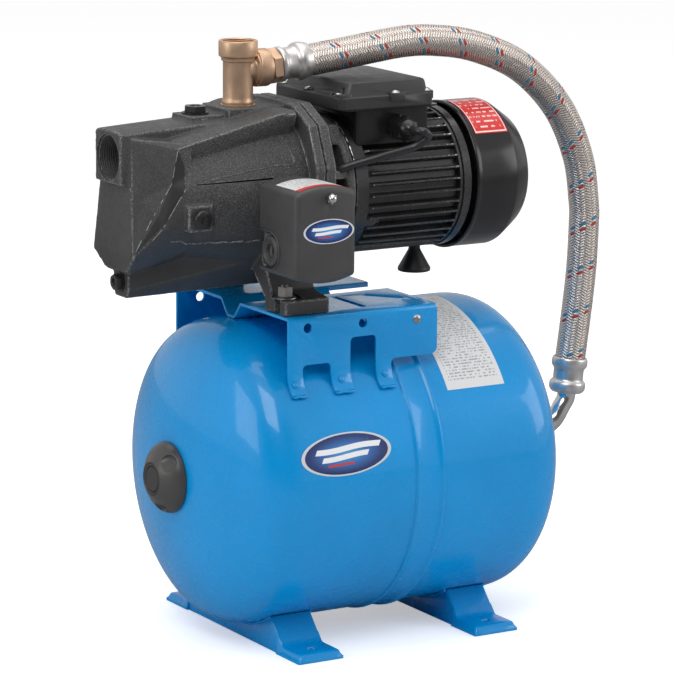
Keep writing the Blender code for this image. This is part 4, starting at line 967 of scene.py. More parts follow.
def platform():
    outer = with_mirror(PLATFORM_HALF)
    inner = offset_profile(outer, SHEET)
    faces = [[[(x, y, z) for y, z in outline] for x in (PLAT_X0, PLAT_X1)]
             for outline in (outer, inner)]
    steps = []
    for side in SIDES:
        skirt = span(side, 0.095, 0.125)
        for x0, x1, top in ((-0.1085, -0.0785, 0.2765), (-0.0578, -0.03, 0.298)):
            opening = rounded_rect(x0, x1, 0.23, top, 0.0045, corners=(0, 0, 1, 1))
            steps.append(cut(prism(opening, "Y", *skirt)))
        steps.append(cut(prism(RIGHT_OPENING, "Y", *skirt)))
        # rounded corners at the right-hand end of the skirt
        for z, rise in ((0.2741, 1), (PLAT_Z, -1)):
            corner = [(PLAT_X1 + 0.002, z - rise * 0.002), (PLAT_X1 + 0.002, z + rise * 0.006)]
            corner += [(PLAT_X1 - 0.006 + 0.006 * cos(radians(k)),
                        z + rise * (0.006 - 0.006 * sin(radians(k))))
                       for k in (0, 22, 45, 68, 90)]
            corner += [(PLAT_X1 - 0.006, z - rise * 0.002)]
            steps.append(cut(prism(corner, "Y", *span(side, 0.1035, 0.125))))
    # round holes in the skirt
    for x, z, side in ((-0.1033, 0.3108, -1), (-0.0445, 0.3102, -1), (-0.0985, 0.304, 1)):
        steps.append(cut(rod(*span(side, 0.095, 0.12), 0.0045, (x, 0, z), BACK, 28)))
    # bolt holes and two slots in each half of the top
    for side in SIDES:
        steps.append(cut(rod(0.31, 0.33, 0.005, (BOLT_X, side * BOLT_Y, 0), UP)))
        y0, y1 = span(side, 0.033, 0.088)
        straight = [(-0.035, y0), (-0.0285, y0), (-0.0285, y1), (-0.035, y1)]
        steps.append(cut(prism(straight, "Z", 0.31, 0.33)))
        slanted = [(-0.006, 0.04), (0.001, 0.036), (0.026, 0.062), (0.024, 0.07), (0.018, 0.068)]
        steps.append(cut(prism([(x, side * y) for x, y in slanted], "Z", 0.31, 0.33)))
    # the trough stops short of the seam band
    steps.append(cut(block(-0.0085, 0.06, -0.0182, 0.0182, 0.29, 0.315)))
    steps.append(cut(block(-0.0085, 0.06, -0.0168, 0.0168, 0.29, 0.33)))
    return combine(sheet(*faces), *steps)


def platform_details():
    """Round bumps low on the legs, and weld beads along leg tips and trough."""
    details = []
    bump_profile = [(-0.002, 0), (-0.002, 0.003), (0.0002, 0.003), (0.0008, 0.0024),
                    (0.0012, 0.0013), (0.0014, 0)]
    tip_radii = [0.0007, 0.0012, 0.0015, 0.0013, 0.0015, 0.0013, 0.0015, 0.0012, 0.0007]
    for side in SIDES:
        for x, y, z in ((-0.1178, 0.1103, 0.26), (-0.0685, 0.11, 0.2606),
                        (-0.0215, 0.1098, 0.2612)):
            details.append(turned(bump_profile, (x, side * y, z), (0, side * 0.86, 0.50), 20))
        for x0, x1 in ((-0.1236, -0.1087), (-0.0783, -0.058), (-0.0298, -0.0137)):
            line = [(x0 + (x1 - x0) * k / 8, side * 0.116, 0.2498 + 0.0003 * sin(5 * k))
                    for k in range(9)]
            details.append(swept(line, tip_radii, 8))
        line = [(-0.1232 + 0.1142 * k / 40, side * 0.005, 0.305 + 0.0004 * sin(2.3 * k))
                for k in range(41)]
        details.append(swept(line, [0.0013 + 0.0004 * sin(1.9 * k) for k in range(41)], 8))
    return details


put("platform", join(bevelled(platform(), 0.0006, 2, 40), *platform_details()), BLUE,
    "platform_bracket", sharp=35)
put("platform_screw", cross_screw((0.0142, -0.1073, 0.3084), FRONT), STEEL, sharp=30)


def bolt(y):
    origin = (BOLT_X, y, 0)
    head = hex_head(0.3372, 0.347, 0.013, origin, UP, 0.0007)
    head = combine(head, cut(solid([(0.3452, 0.0034), (0.348, 0.0052)], origin, UP)))
    collar = turned([(0.3355, 0), (0.3355, 0.01), (0.3361, 0.0104), (0.3368, 0.0101),
                     (0.338, 0.0078), (0.3384, 0)], origin, UP, 40)
    shank = solid([(0.3165, 0.0036), (0.317, 0.004), (0.336, 0.004)], origin, UP, 20)
    return join(head, collar, shank)


for place, y in (("front", -BOLT_Y), ("rear", BOLT_Y)):
    put(f"{place}_foot_bolt", bolt(y), DULL_ZINC, f"foot_bolt_{place}", sharp=30)

# ---------------------------------------------------------------- pump casing
# flange outline shared by casing and motor bracket: y, z
OCTAGON = [(y, SHAFT_Z + z) for y, z in with_mirror([
    (0.038, 0.084), (0.07, 0.0675), (0.086, 0.03), (0.086, -0.03), (0.07, -0.0675),
    (0.038, -0.084)])]
# edges of the casing, as x, distance from the middle, z
NOSE_LEFT = [(-0.2478, 0.0388, 0.3765), (-0.2135, 0.05, 0.444), (-0.2045, 0.0455, 0.4745)]
NOSE_RIGHT = [(-0.1989, 0.05, 0.4567), (-0.2022, 0.056, 0.4395), (-0.2257, 0.056, 0.4048)]
RIDGE = [(-0.2045, 0.0455, 0.4745), (-0.1047, 0.06, 0.502)]
# x, radius of the bell round the shaft
BELL = [(-0.2045, 0.054), (-0.2, 0.0562), (-0.15, 0.0675), (-0.105, 0.0762), (-0.09, 0.0778),
        (-0.0845, 0.078)]


def bell_at(x, z, side):
    """Point on the side of the bell at a given x and z."""
    radius = BELL[-1][1]
    for (start, first), (stop, second) in zip(BELL, BELL[1:]):
        if start <= x <= stop:
            radius = first + (second - first) * (x - start) / (stop - start)
    return (x, side * sqrt(max(1e-8, radius * radius - (z - SHAFT_Z) ** 2)), z)


def inside(outline, x, z):
    hit = False
    for (x0, z0), (x1, z1) in zip(outline, outline[1:] + outline[:1]):
        if (z0 > z) != (z1 > z) and x < x0 + (z - z0) * (x1 - x0) / (z1 - z0):
            hit = not hit
    return hit


def casing_body():
    """Bell, nose and everything cast onto them, melted together."""
    bell = solid(BELL + [(-0.0835, 0.0776), (-0.0815, 0.074)], SHAFT, seg=96)
    rear = [(-0.19, 0.0585 * cos(radians(k)), SHAFT_Z - 0.0585 * sin(radians(k)))
            for k in (-20, 0, 15, 32, 48, 64)]
    nose = hull(both_sides(NOSE_LEFT[:2] + NOSE_RIGHT[1:] + [
        (-0.2425, 0.0285, 0.4415), (-0.2455, 0.024, 0.363), (-0.243, 0.02, 0.3575),
        (-0.2, 0.04, 0.46)] + rear))
    belly = softened(combine(bell, add(nose)), 0.0014, 9)
    channel = hull(
        [(SUCTION_X + 0.0008, y, z) for y, z in (
            (-0.0245, 0.441), (0.0245, 0.441), (0.0245, 0.487), (0.02, 0.489),
            (0.01, 0.4898), (-0.01, 0.4898), (-0.02, 0.489), (-0.0245, 0.487))]
        + [(-0.086, y, z) for y, z in (
            (-0.0305, 0.43), (0.0305, 0.43), (0.0305, 0.4965), (0.016, 0.4985),
            (-0.016, 0.4985), (-0.0305, 0.4965))])
    face = hull(both_sides([
        (-0.2425, 0.0285, 0.4415), (-0.2425, 0.0262, 0.484), (-0.2475, 0.0385, 0.3745),
        (-0.245, 0.0215, 0.3605), NOSE_LEFT[1], NOSE_LEFT[2], (-0.1989, 0.047, 0.4567),
        (-0.19, 0.046, 0.478), (-0.195, 0.05, 0.44), (-0.215, 0.048, 0.41),
        (-0.22, 0.025, 0.368)]))
    shoulder = hull(both_sides(RIDGE + [
        (-0.2045, 0.04, 0.456), (-0.1047, 0.048, 0.475), (-0.09, 0.0615, 0.501),
        (-0.086, 0.048, 0.478), (-0.086, 0.05, 0.5035), (-0.1047, 0.04, 0.503),
        (-0.2045, 0.03, 0.481), (-0.19, 0.03, 0.44)]))
    keel = hull(
        [(-0.2395, y, z) for y, z in (
            (-0.011, 0.3345), (0.011, 0.3345), (0.0145, 0.342), (-0.0145, 0.342),
            (0.0145, 0.37), (-0.0145, 0.37))]
        + [(-0.086, y, z) for y, z in (
            (-0.024, 0.3395), (0.024, 0.3395), (-0.052, 0.374), (0.052, 0.374))])
    drain_boss = solid([(-0.2398, 0.0088), (-0.2392, 0.0094), (-0.225, 0.0094)],
                       (0, 0, DRAIN_Z), seg=40)
    tee_boss = block(-0.141, -0.0795, -0.0256, 0.0256, 0.47, 0.5044)
    priming_boss = block(-0.1762, -0.139, -0.0187, 0.0187, 0.47, 0.4985)
    flange = prism(OCTAGON, "X", -0.0825, -0.0727)
    parts = [channel, face, shoulder, keel, drain_boss, tee_boss, priming_boss, flange]
    for side in SIDES:
        foot_outline = [
            (0.02, 0.376), (0.034, 0.358), (0.059, 0.334), (0.059, PLAT_Z + GAP),
            (0.0985, PLAT_Z + GAP), (0.0985, 0.3352), (0.072, 0.34), (0.052, 0.376)]
        parts.append(prism([(side * y, z) for y, z in foot_outline], "X", -0.1217, -0.0757))
    # square boss of the side plug, and round boss behind the switch
    parts.append(hull([(x, y, z) for x in (-0.2035, -0.1795) for z in (0.4003, 0.4243)
                       for y in (-0.03, -0.064)]
                      + [(-0.17, -0.056, 0.4243), (-0.17, -0.056, 0.41)]))
    parts.append(rod(-0.0772, -0.055, 0.0115, (SWITCH_X, 0, 0.405), BACK, 40))
    return softened(combine(belly, *map(add, parts)), 0.00115, 3)


def casing():
    cuts = []
    # pocket over an open slot in each foot, with a curved back wall
    for side in SIDES:
        cuts.append(solid([(0.3352, 0.015), (0.37, 0.017)], (-0.115, side * 0.086, 0), UP, 40))
        cuts.append(block(-0.14, -0.115, *span(side, 0.0712, 0.115), 0.3352, 0.369))
        slot = rounded_rect(-0.14, -0.1085, *span(side, 0.0782, 0.0878), 0.0045,
                            corners=(0, 1, 1, 0))
        cuts.append(prism(slot, "Z", 0.31, 0.345))
    # thin slot cast into the front side
    cuts.append(hull([(-0.1907, y, z) for y in (-0.059, -0.049) for z in (0.4414, 0.4425)]
                     + [(-0.119, y, z) for y in (-0.072, -0.063) for z in (0.4439, 0.4458)]))
    # bores for suction, tee, priming plug and drain plug
    cuts.append(solid([(-0.27, 0.0224), (-0.2505, 0.0216), (-0.226, 0.0216), (-0.226, 0.0175),
                       (-0.21, 0.0175)], (0, 0, SUCTION_Z), seg=72))
    cuts.append(rod(0.48, 0.52, 0.0168, (TEE_X, 0, 0), UP, 48))
    cuts.append(rod(0.48, 0.52, 0.0098, (-0.162, 0, 0), UP, 36))
    cuts.append(rod(-0.26, -0.226, 0.0062, (0, 0, DRAIN_Z), seg=32))
    shape = combine(casing_body(), *map(cut, cuts))
    # the strip between the two edges of the nose is smoother, and its darker copy of the iron is
    # painted shade
    strip = [(x, z) for x, _, z in NOSE_LEFT + NOSE_RIGHT]
    for mesh_face in shape.faces:
        centre = mesh_face.calc_center_median()
        if abs(centre.y) > 0.034 and inside(strip, centre.x, centre.z):
            mesh_face.material_index = 1
    return shape


def surface_line(skin, points, radius, gaps, rng):
    """Thin raised line on a surface, broken into short runs of uneven width."""
    samples = []
    for start, stop in zip(points, points[1:]):
        start, stop = Vector(start), Vector(stop)
        count = max(2, int((stop - start).length / 0.0009))
        samples += [start.lerp(stop, k / count) for k in range(count)]
    samples.append(Vector(points[-1]))
    runs, run = [], []
    drawing, left = True, 6
    for sample in samples:
        left -= 1
        if left <= 0:
            if rng.random() < 0.8:
                drawing = not drawing
            left = int(3 + rng.random() * (14 if drawing else 14 * gaps))
        place, normal = skin.find_nearest(sample)[:2]
        if drawing:
            run.append(place + normal * (radius * 0.15))
        elif run:
            runs.append(run)
            run = []
    if run:
        runs.append(run)
    made = []
    for run in runs:
        if len(run) < 3:
            continue
        radii = [radius * (0.45 + 0.8 * rng.random()) * (0.4 if k in (0, len(run) - 1) else 1.0)
                 for k in range(len(run))]
        made.append(swept(run, radii, 5))
    return made


# outline of a shallow panel on the bell
PANEL = [(-0.101, 0.05, 0.4815), (-0.0985, 0.06, 0.4712), (-0.0965, 0.069, 0.457),
         (-0.1153, 0.0672, 0.456), (-0.1563, 0.0605, 0.4497), (-0.1824, 0.0562, 0.4447)]
# bright lines along the casing edges: painted highlights, with some rubbed-off paint
# points, line radius, length of the gaps relative to the runs
LIT_AND_RUBBED_EDGES = [
    (PANEL[:3], 0.00022, 1.2),
    (NOSE_LEFT, 0.00042, 0.15),
    ([NOSE_RIGHT[1], NOSE_RIGHT[2], (-0.233, 0.05, 0.393)], 0.00034, 0.2),
    ([NOSE_LEFT[2], NOSE_RIGHT[0], NOSE_RIGHT[1]], 0.00022, 1.0),
    (RIDGE, 0.0003, 0.5),
    ([(-0.2425, 0.029, 0.44), (-0.2475, 0.0385, 0.376)], 0.00026, 0.6),
    ([(SUCTION_X, 0.0245, 0.486), (SUCTION_X, 0.0245, 0.443)], 0.0003, 1.5),
    ([(-0.1047, 0.06, 0.502), (-0.09, 0.0615, 0.501), (-0.089, 0.0615, 0.495)], 0.0003, 0.4),
    ([(-0.0838, 0.078 * sin(radians(k)), SHAFT_Z + 0.078 * cos(radians(k)))
      for k in range(38, 112, 3)], 0.0003, 0.4),
    ([(-0.0825, 0.07, 0.4907), (-0.0825, 0.086, 0.4532), (-0.0825, 0.086, 0.399)], 0.00042, 0.5),
    ([(-0.141, 0.0256, 0.5035), (-0.141, 0.0256, 0.4975)], 0.00035, 0.5),
    ([(-0.1762, 0.0187, 0.498), (-0.169, 0.0187, 0.495), (-0.16, 0.0187, 0.496)], 0.0003, 1.0),
    ([(-0.1217, 0.0345, 0.3578), (-0.1217, 0.059, 0.3342)], 0.0004, 0.3),
]


def casing_lines(skin):
    """Raised lines cast on the casing, and the bright lines along its edges: painted highlights,
    with some rubbed-off paint.
    """
    raised, rubbed = [], []
    rng = random.Random(5)
    for side in SIDES:
        def on_side(points):
            return [(x, side * abs(y), z) for x, y, z in points]

        # moulding line low on the side
        line = on_side([(-0.214, 0.054, 0.3862), (-0.205, 0.056, 0.3864)])
        line += [bell_at(-0.196 + 0.076 * k / 24, 0.3868 + 0.0004 * sin(k * 1.3), side)
                 for k in range(25)]
        path = [skin.find_nearest(Vector(point))[0] for point in line]
        radii = [0.0008 + 0.0002 * sin(1.9 * k) for k in range(1, len(path) - 1)]
        raised.append(swept(path, [0.0003, *radii, 0.0003], 8))
        # bright line along the top of the moulding line: painted highlight
        above = [(point.x, point.y + side * 0.0009, point.z + 0.0003) for point in path]
        rubbed += surface_line(skin, above, 0.00035, 0.25, rng)
        path = [skin.find_nearest(point)[0] for point in smooth_path(on_side(PANEL), 0.003)]
        raised.append(swept(path, [0.0002] + [0.00055] * (len(path) - 2) + [0.0002], 8))
        for points, radius, gaps in LIT_AND_RUBBED_EDGES:
            rubbed += surface_line(skin, on_side(points), radius, gaps, rng)
    plug_boss = [(-0.2035, -0.064, 0.4243), (-0.2035, -0.064, 0.4003), (-0.19, -0.064, 0.4003)]
    rubbed += surface_line(skin, plug_boss, 0.00026, 0.6, rng)
    return raised, rubbed


casing_shape = casing()
raised_lines, lit_and_rubbed_lines = casing_lines(BVHTree.FromBMesh(casing_shape))
suction_thread = bore_thread(-0.2502, -0.2262, root=0.0212, crest=0.0201, outer=0.0219,
                             pitch=0.0023, origin=(0, 0, SUCTION_Z), direction=RIGHT, seg=72)
put("casing", join(casing_shape, suction_thread, *raised_lines), IRON,
    "pump_casing", sharp=50, second=IRON_PAINTED_SHADE)
# bright lines along the casing edges: painted highlights, with some rubbed-off paint
put("casing_rubbed_edges", join(*lit_and_rubbed_lines), EDGE_WEAR_AND_HIGHLIGHT, sharp=60)


def plug(name, replaces, start, stop, flats, thread_r, length, origin, direction, dish):
    """Hexagonal plug: dished head, thin collar and threaded stem."""
    head = hex_head(start, stop, flats, origin, direction)
    hollow = solid([(stop - 0.0015, dish * 0.8), (stop + 0.001, dish)], origin, direction)
    head = combine(head, cut(hollow))
    root = thread_r - 0.0008
    stem = [(-length, thread_r - 0.0009)]
    stem += screw_thread(-length + 0.0003, start - 0.0004, root, thread_r, pitch=0.0018)
    stem += [(start + 0.0005, root)]
    collar = rod(start - 0.0001, start + 0.0008, flats * 0.52, origin, direction, 36)
    put(name, join(head, solid(stem, origin, direction, 36), collar), IRON_SMOOTH,
        replaces, replaces, sharp=30)


plug("priming_hex_plug", "priming_plug", start=0.0021, stop=0.0075, flats=0.019, thread_r=0.0093,
     length=0.011, origin=(-0.162, 0, 0.4985), direction=UP, dish=0.006)
plug("drain_hex_plug", "drain_plug", start=0.0018, stop=0.0075, flats=0.013, thread_r=0.0059,
     length=0.009, origin=(-0.2395, 0, DRAIN_Z), direction=LEFT, dish=0.0038)
# distance outward from the boss, radius
SIDE_PLUG = [
    (-0.012, 0.0054), *screw_thread(-0.0118, -0.002, root=0.005, crest=0.0058, pitch=0.0016),
    (0.0001, 0.0054), (0.0001, 0.0086), (0.0009, 0.0089), (0.0024, 0.0087), (0.0034, 0.0078),
    (0.004, 0.0064), (0.0043, 0.004), (0.0034, 0.0036), (0.003, 0.002)]
put("side_round_plug", solid(SIDE_PLUG, (-0.1915, -0.068, 0.4123), FRONT, 40), IRON_SMOOTH,
    "side_plug", "side_plug")


# ---------------------------------------------------------------- bracket to the motor
def bracket():
    hub = rod(-0.065, -0.0135, 0.027, SHAFT, seg=64)
    ring = solid([(-0.0372, 0.066), (-0.0345, 0.068), (-0.029, 0.068)], SHAFT, seg=96)
    parts = [hub, ring]
    for side in SIDES:
        near, far = SHAFT_Z + side * 0.044, SHAFT_Z + side * 0.062
        parts.append(prism([(-0.047, near), (0.047, near), (0.041, far), (-0.041, far)],
                           "X", -0.064, -0.033))
    # struts leaning in from the flange to the ring
    for y, z in ((-0.064, -0.012), (-0.064, 0.02), (0.064, 0.0)):
        ends = ((-0.064, y, z), (-0.035, y * 0.92, z * 0.9))
        parts.append(hull([(x, middle + across, SHAFT_Z + height + up)
                           for x, middle, height in ends
                           for up in (-0.004, 0.004) for across in (-0.004, 0.004)]))
    soft = softened(combine(prism(OCTAGON, "X", -0.0717, -0.0615), *map(add, parts)), 0.00115, 2)
    return combine(soft, cut(rod(-0.08, -0.02, 0.0123, SHAFT, seg=40)),
                   cut(solid([(-0.0268, 0.0203), (-0.01, 0.0204)], SHAFT, seg=40)))


put("bracket", bracket(), IRON, "motor_bracket", sharp=50)
SPIGOT = [(-0.0612, 0.026), (-0.0612, 0.0515), (-0.0596, 0.0525), (-0.04, 0.0525),
          (-0.0386, 0.0515), (-0.0386, 0.026)]
put("bare_spigot", turned(SPIGOT, SHAFT, seg=96), DULL_ZINC)

# ---------------------------------------------------------------- motor
FINS = 38
# fin profile over one pitch: share of the pitch, depth below the motor radius
FIN = [(0.0, 0.0006), (0.03, 0.0001), (0.07, 0), (0.14, 0), (0.18, 0.0001), (0.21, 0.0006),
       (0.29, 0.0052), (0.33, 0.006), (0.45, 0.0062), (0.62, 0.0062), (0.82, 0.0062),
       (0.89, 0.006), (0.93, 0.0052)]


def tie_point(angle):
    """Axis of a tie screw, at an angle in degrees from the top."""
    angle = radians(angle)
    return Vector(SHAFT) + Vector((0, sin(angle), cos(angle))) * 0.0605


TIE_ANGLES = (62, 118, 242, 298)


def housing():
    pitch = 2 * pi / FINS
    outline = []
    for k in range(FINS):
        for share, depth in FIN:
            angle = pitch * k + share * pitch
            radius = MOTOR_R - depth
            outline.append((radius * sin(angle), SHAFT_Z + radius * cos(angle)))
    # fin ends run out in a slope towards the left ring
    slope = turned([(-0.016, MOTOR_R - 0.0055), (-0.016, MOTOR_R + 0.01), (-0.01, MOTOR_R + 0.01),
                    (-0.01, MOTOR_R), (-0.0138, MOTOR_R - 0.003)], SHAFT, seg=96)
    # plain cast patch under the terminal box
    patch = prism([(-0.04, SHAFT_Z + 0.04), (0.04, SHAFT_Z + 0.04), (0.034, SHAFT_Z + 0.0578),
                   (-0.034, SHAFT_Z + 0.0578)], "X", -0.0144, 0.0872)
    left_ring = solid([(-0.0285, 0.0672), (-0.0279, 0.068), (-0.0152, 0.068), (-0.0144, 0.0673),
                       (-0.0142, 0.064)], SHAFT, seg=128)
    right_ring = solid([(0.0864, MOTOR_R - 0.0018), (0.0868, MOTOR_R - 0.0008),
                        (0.0893, MOTOR_R - 0.0008), (0.0897, MOTOR_R - 0.0014)], SHAFT, seg=128)
    lugs = [turned([(-0.016, 0), (-0.016, 0.0062), (-0.005, 0.0062), (-0.0035, 0.005),
                    (-0.003, 0)], tie_point(angle)) for angle in TIE_ANGLES]
    return combine(prism(outline, "X", -0.0144, 0.0872), cut(slope), add(patch), add(left_ring),
                   add(right_ring), cut(rod(-0.04, 0.1, 0.0515, SHAFT, seg=64)),
                   *map(add, lugs))


def chips():
    """Bright chips where the paint is rubbed off the fin ends and the ring edges."""
    rng = random.Random(11)
    made = []

    def chip(x, angle, radius, length, width):
        outward = Vector((0, sin(angle), cos(angle)))
        around = Vector((0, cos(angle), -sin(angle)))
        centre = Vector(SHAFT) + outward * radius + Vector((x, 0, 0))
        points = []
        for k in range(7):
            turn = 2 * pi * k / 7
            size = 0.75 + rng.random() * 0.5
            points.append(centre + Vector(RIGHT) * (cos(turn) * length * 0.5 * size)
                          + outward * (cos(turn) * 0.0002)
                          + around * (sin(turn) * width * 0.5 * size))
        made.append(hull(points + [point - outward * 0.0006 for point in points]))

    fin_r = MOTOR_R + 0.00005
    for k in range(FINS):
        angle = 2 * pi * (k + 0.105) / FINS
        turn = (angle / (2 * pi)) % 1
        if 0.55 < turn < 0.95 or rng.random() < 0.55:
            chip(-0.0092, angle, fin_r, 0.001 + rng.random() * 0.001,
                 0.0009 + rng.random() * 0.0004)
        if 0.76 < turn < 0.93:
            chip(0.0832 + rng.random() * 0.002, angle, fin_r, 0.0018 + rng.random() * 0.003,
                 0.0011)
            if rng.random() < 0.7:
                chip(0.076 + rng.random() * 0.004, angle, fin_r, 0.0014 + rng.random() * 0.003,
                     0.0008)
        elif rng.random() < 0.2:
            chip(0.085, angle, fin_r, 0.001, 0.0008)
    for k in range(60):
        if rng.random() < 0.35:
            chip(-0.028, -1.9 + 1.6 * k / 60, 0.0679, 0.0007, 0.003 + rng.random() * 0.003)
    return made


put("motor_frame", housing(), PAINT, "motor_housing", sharp=32)
put("frame_rubbed_spots", join(*chips()), STEEL, sharp=60)
tie_screws = [washer_screw(tie_point(angle) + Vector((-0.003, 0, 0)), flats=0.007, height=0.0055,
                           washer=0.0052) for angle in TIE_ANGLES]
put("motor_tie_screws", join(*tie_screws), PAINT, sharp=30)
# y and height from the shaft of the screws in the octagonal flange
FLANGE_SCREWS = [(-0.0655, 0.048), (0.0655, 0.048), (-0.0655, -0.048), (0.0655, -0.048),
                 (-0.07, 0.0), (0.07, 0.0)]
flange_screws = [washer_screw((-0.0617, y * 0.985, SHAFT_Z + z), flats=0.008, height=0.006,
                              washer=0.0062) for y, z in FLANGE_SCREWS]
put("flange_screws", join(*flange_screws), IRON_SMOOTH, sharp=30)

# x, radius
SHIELD = [(0.09, 0.02), (0.09, 0.066), (0.0906, 0.0672), (0.0982, 0.0672), (0.099, 0.0664),
          (0.099, 0.064), (0.0945, 0.064), (0.0945, 0.009), (0.0886, 0.009), (0.0886, 0.0163),
          (0.0775, 0.0163), (0.0775, 0.02)]
shield_ribs = [
    about_shaft(block(0.0935, 0.0975, -0.0016, 0.0016, SHAFT_Z + 0.016, SHAFT_Z + 0.0645),
                radians(angle)) for angle in range(0, 360, 60)]
put("rear_shield", combine(turned(SHIELD, SHAFT, seg=96), *map(add, shield_ribs)), PAINT,
    "rear_end_shield", sharp=35)

# x, radius from the open left rim to the middle of the right face
COWL_PROFILE = [
    (0.1036, 0.0701), (0.104, 0.0706), (0.1046, 0.0709), (0.106, 0.0709), (0.1068, 0.0706),
    (0.1076, 0.0703), (0.11, 0.0703), (0.13, 0.0704), (0.147, 0.0704), (0.1484, 0.0701),
    (0.15, 0.0694), (0.16, 0.0628), (0.169, 0.0566), (0.1706, 0.0552), (0.1716, 0.053),
    (0.1722, 0.05), (0.1728, 0.045), (0.1732, 0.039), (0.1734, 0.032), (0.1735, 0.026),
    (0.1735, 0.019), (0.1735, 0.017)]


def cowl():
    wall = 0.0015
    # the wall's offset turns from radial on the side to axial on the right face
    inner = []
    for x, radius in COWL_PROFILE:
        if x <= 0.148:
            inner.append((x, radius - wall))
        elif x < 0.1712:
            inner.append((x - wall * 0.55, radius - wall * 0.85))
        else:
            inner.append((x - wall * 0.9, radius - wall * 0.2))
    seg = 144
    faces = [[[(x, radius * sin(2 * pi * k / seg), SHAFT_Z + radius * cos(2 * pi * k / seg))
               for x, radius in profile] for k in range(seg)]
             for profile in (COWL_PROFILE, inner)]
    # three rings of slots in the right face, crossed by twelve spokes
    grille = sheet(*faces, lambda i, j: not (j in (15, 17, 19) and i % 12 not in (0, 11)),
                   wrap=True)
    cap = solid([(0.1717, 0.02), (0.173, 0.02), (0.1737, 0.019), (0.174, 0.015)], SHAFT, seg=64)
    return combine(grille, add(cap))


put("fan_cover", cowl(), COWL, "fan_cowl", sharp=32)
# z, radius
RUBBER_FOOT = [(0.3315, 0.015), (0.3319, 0.0156), (0.3342, 0.0158), (0.3352, 0.0154),
               (0.3362, 0.0148), (0.352, 0.0059), (0.354, 0.0055), (0.3568, 0.0055),
               (0.359, 0.005)]
put("rubber_foot", solid(RUBBER_FOOT, (0.0778, 0, 0), UP, 56), RUBBER,
    "motor_support_foot", sharp=50)


def fan():
    blades = []
    for k in range(9):
        # x span, half thickness, height above the shaft
        ends = [(0.113, 0.129, 0.0012, 0.014), (0.1135, 0.1285, 0.0007, 0.0555)]
        blade = loft([[(x0, -half, SHAFT_Z + z), (x0, half, SHAFT_Z + z),
                       (x1, half, SHAFT_Z + z), (x1, -half, SHAFT_Z + z)]
                      for x0, x1, half, z in ends])
        blades.append(about_shaft(blade, 2 * pi * k / 9))
    disc = turned([(0.1118, 0.0068), (0.1118, 0.0552), (0.1131, 0.0552), (0.1131, 0.017),
                   (0.129, 0.015), (0.129, 0.0068)], SHAFT, seg=64)
    return join(disc, *blades)


put("fan_wheel", fan(), COWL, "cooling_fan", "rotor", sharp=30)


# ---------------------------------------------------------------- terminal box
def rounded(x, half_x, half_y, radius, z):
    """Level ring of points round a rectangle with rounded corners, centred on y = 0."""
    ring = []
    for sign_x, sign_y, start in ((1, 1, 0), (-1, 1, 90), (-1, -1, 180), (1, -1, 270)):
        for k in range(7):
            angle = radians(start + 90 * k / 6)
            ring.append((x + sign_x * (half_x - radius) + radius * cos(angle),
                         sign_y * (half_y - radius) + radius * sin(angle), z))
    return ring


LID_X = 0.008
GLAND = (0.0225, 0, 0.481)


def base_box():
    shell = loft([rounded(*row) for row in (
        (0.01825, 0.0398, 0.0535, 0.004, 0.46), (0.01825, 0.0398, 0.0535, 0.004, 0.4975),
        (0.014, 0.052, 0.059, 0.006, 0.499), (0.014, 0.052, 0.059, 0.006, 0.5005))])
    return combine(shell, cut(rod(-0.06, 0.08, MOTOR_R + 0.0018, SHAFT, seg=96)),
                   cut(block(-0.019, 0.0555, -0.051, 0.051, 0.4935, 0.51)),
                   cut(rod(-0.06, -0.045, 0.0078, GLAND, BACK, 36)))


# shift in x, half length, half width, corner radius, z: from the rim up to the top
LID_OUTER = [
    (0, 0.051, 0.061, 0.007, 0.5008), (0, 0.0515, 0.0615, 0.007, 0.5013),
    (0, 0.0515, 0.0615, 0.007, 0.5112), (0, 0.051, 0.061, 0.007, 0.5119),
    (0, 0.0502, 0.0602, 0.007, 0.5122), (0.002, 0.0462, 0.058, 0.006, 0.5125),
    (0.0024, 0.0454, 0.0573, 0.006, 0.5132), (0.004, 0.0428, 0.0544, 0.006, 0.5225),
    (0.004, 0.042, 0.0536, 0.006, 0.524), (0.004, 0.0405, 0.0521, 0.006, 0.5247),
    (0.004, 0.0388, 0.0504, 0.006, 0.5248)]
LID_INNER = [
    (0, 0.0485, 0.0585, 0.006, 0.5008), (0, 0.0485, 0.0585, 0.006, 0.5095),
    (0.002, 0.043, 0.055, 0.005, 0.5105), (0.004, 0.04, 0.0515, 0.005, 0.5224)]
# x, y of the screws; the first sits sunk in the boxed ear
LID_SCREWS = [(LID_X - 0.045, -0.047), (LID_X - 0.045, 0.006), (LID_X - 0.045, 0.0545),
              (LID_X + 0.047, -0.054), (LID_X + 0.047, 0.054)]


def lid():
    outer, inner = ([rounded(LID_X + shift, *row) for shift, *row in table]
                    for table in (LID_OUTER, LID_INNER))
    steps = [add(solid([(0.506, 0.0062), (0.5128, 0.0062), (0.5134, 0.0056)], (x, y, 0), UP, 32))
             for x, y in LID_SCREWS]
    # boxed ear at the front left corner and a shallow step along the front side
    steps.append(add(block(LID_X - 0.0505, LID_X - 0.038, -0.06, -0.0405, 0.507, 0.515)))
    steps.append(add(block(LID_X + 0.002, LID_X + 0.017, -0.064, -0.052, 0.507, 0.514)))
    steps.append(cut(rod(0.5128, 0.52, 0.0058, (*LID_SCREWS[0], 0), UP, 32)))
    return combine(cup(outer, inner), *steps)


put("terminal_box", base_box(), COWL, "terminal_box_base", sharp=35)
put("terminal_lid", bevelled(lid(), 0.0003, 2, 50), BOX, "terminal_box_lid",
    sharp=34)
screw_places = [(LID_X + 0.0095, -0.059, 0.514), (*LID_SCREWS[0], 0.513)]
screw_places += [(x, y, 0.5134) for x, y in LID_SCREWS[1:]]
lid_screws = [cross_screw(place, UP, radius=0.0046, height=0.0026, slot=0.001)
              for place in screw_places]
put("lid_screws", join(*lid_screws), STEEL, sharp=30)

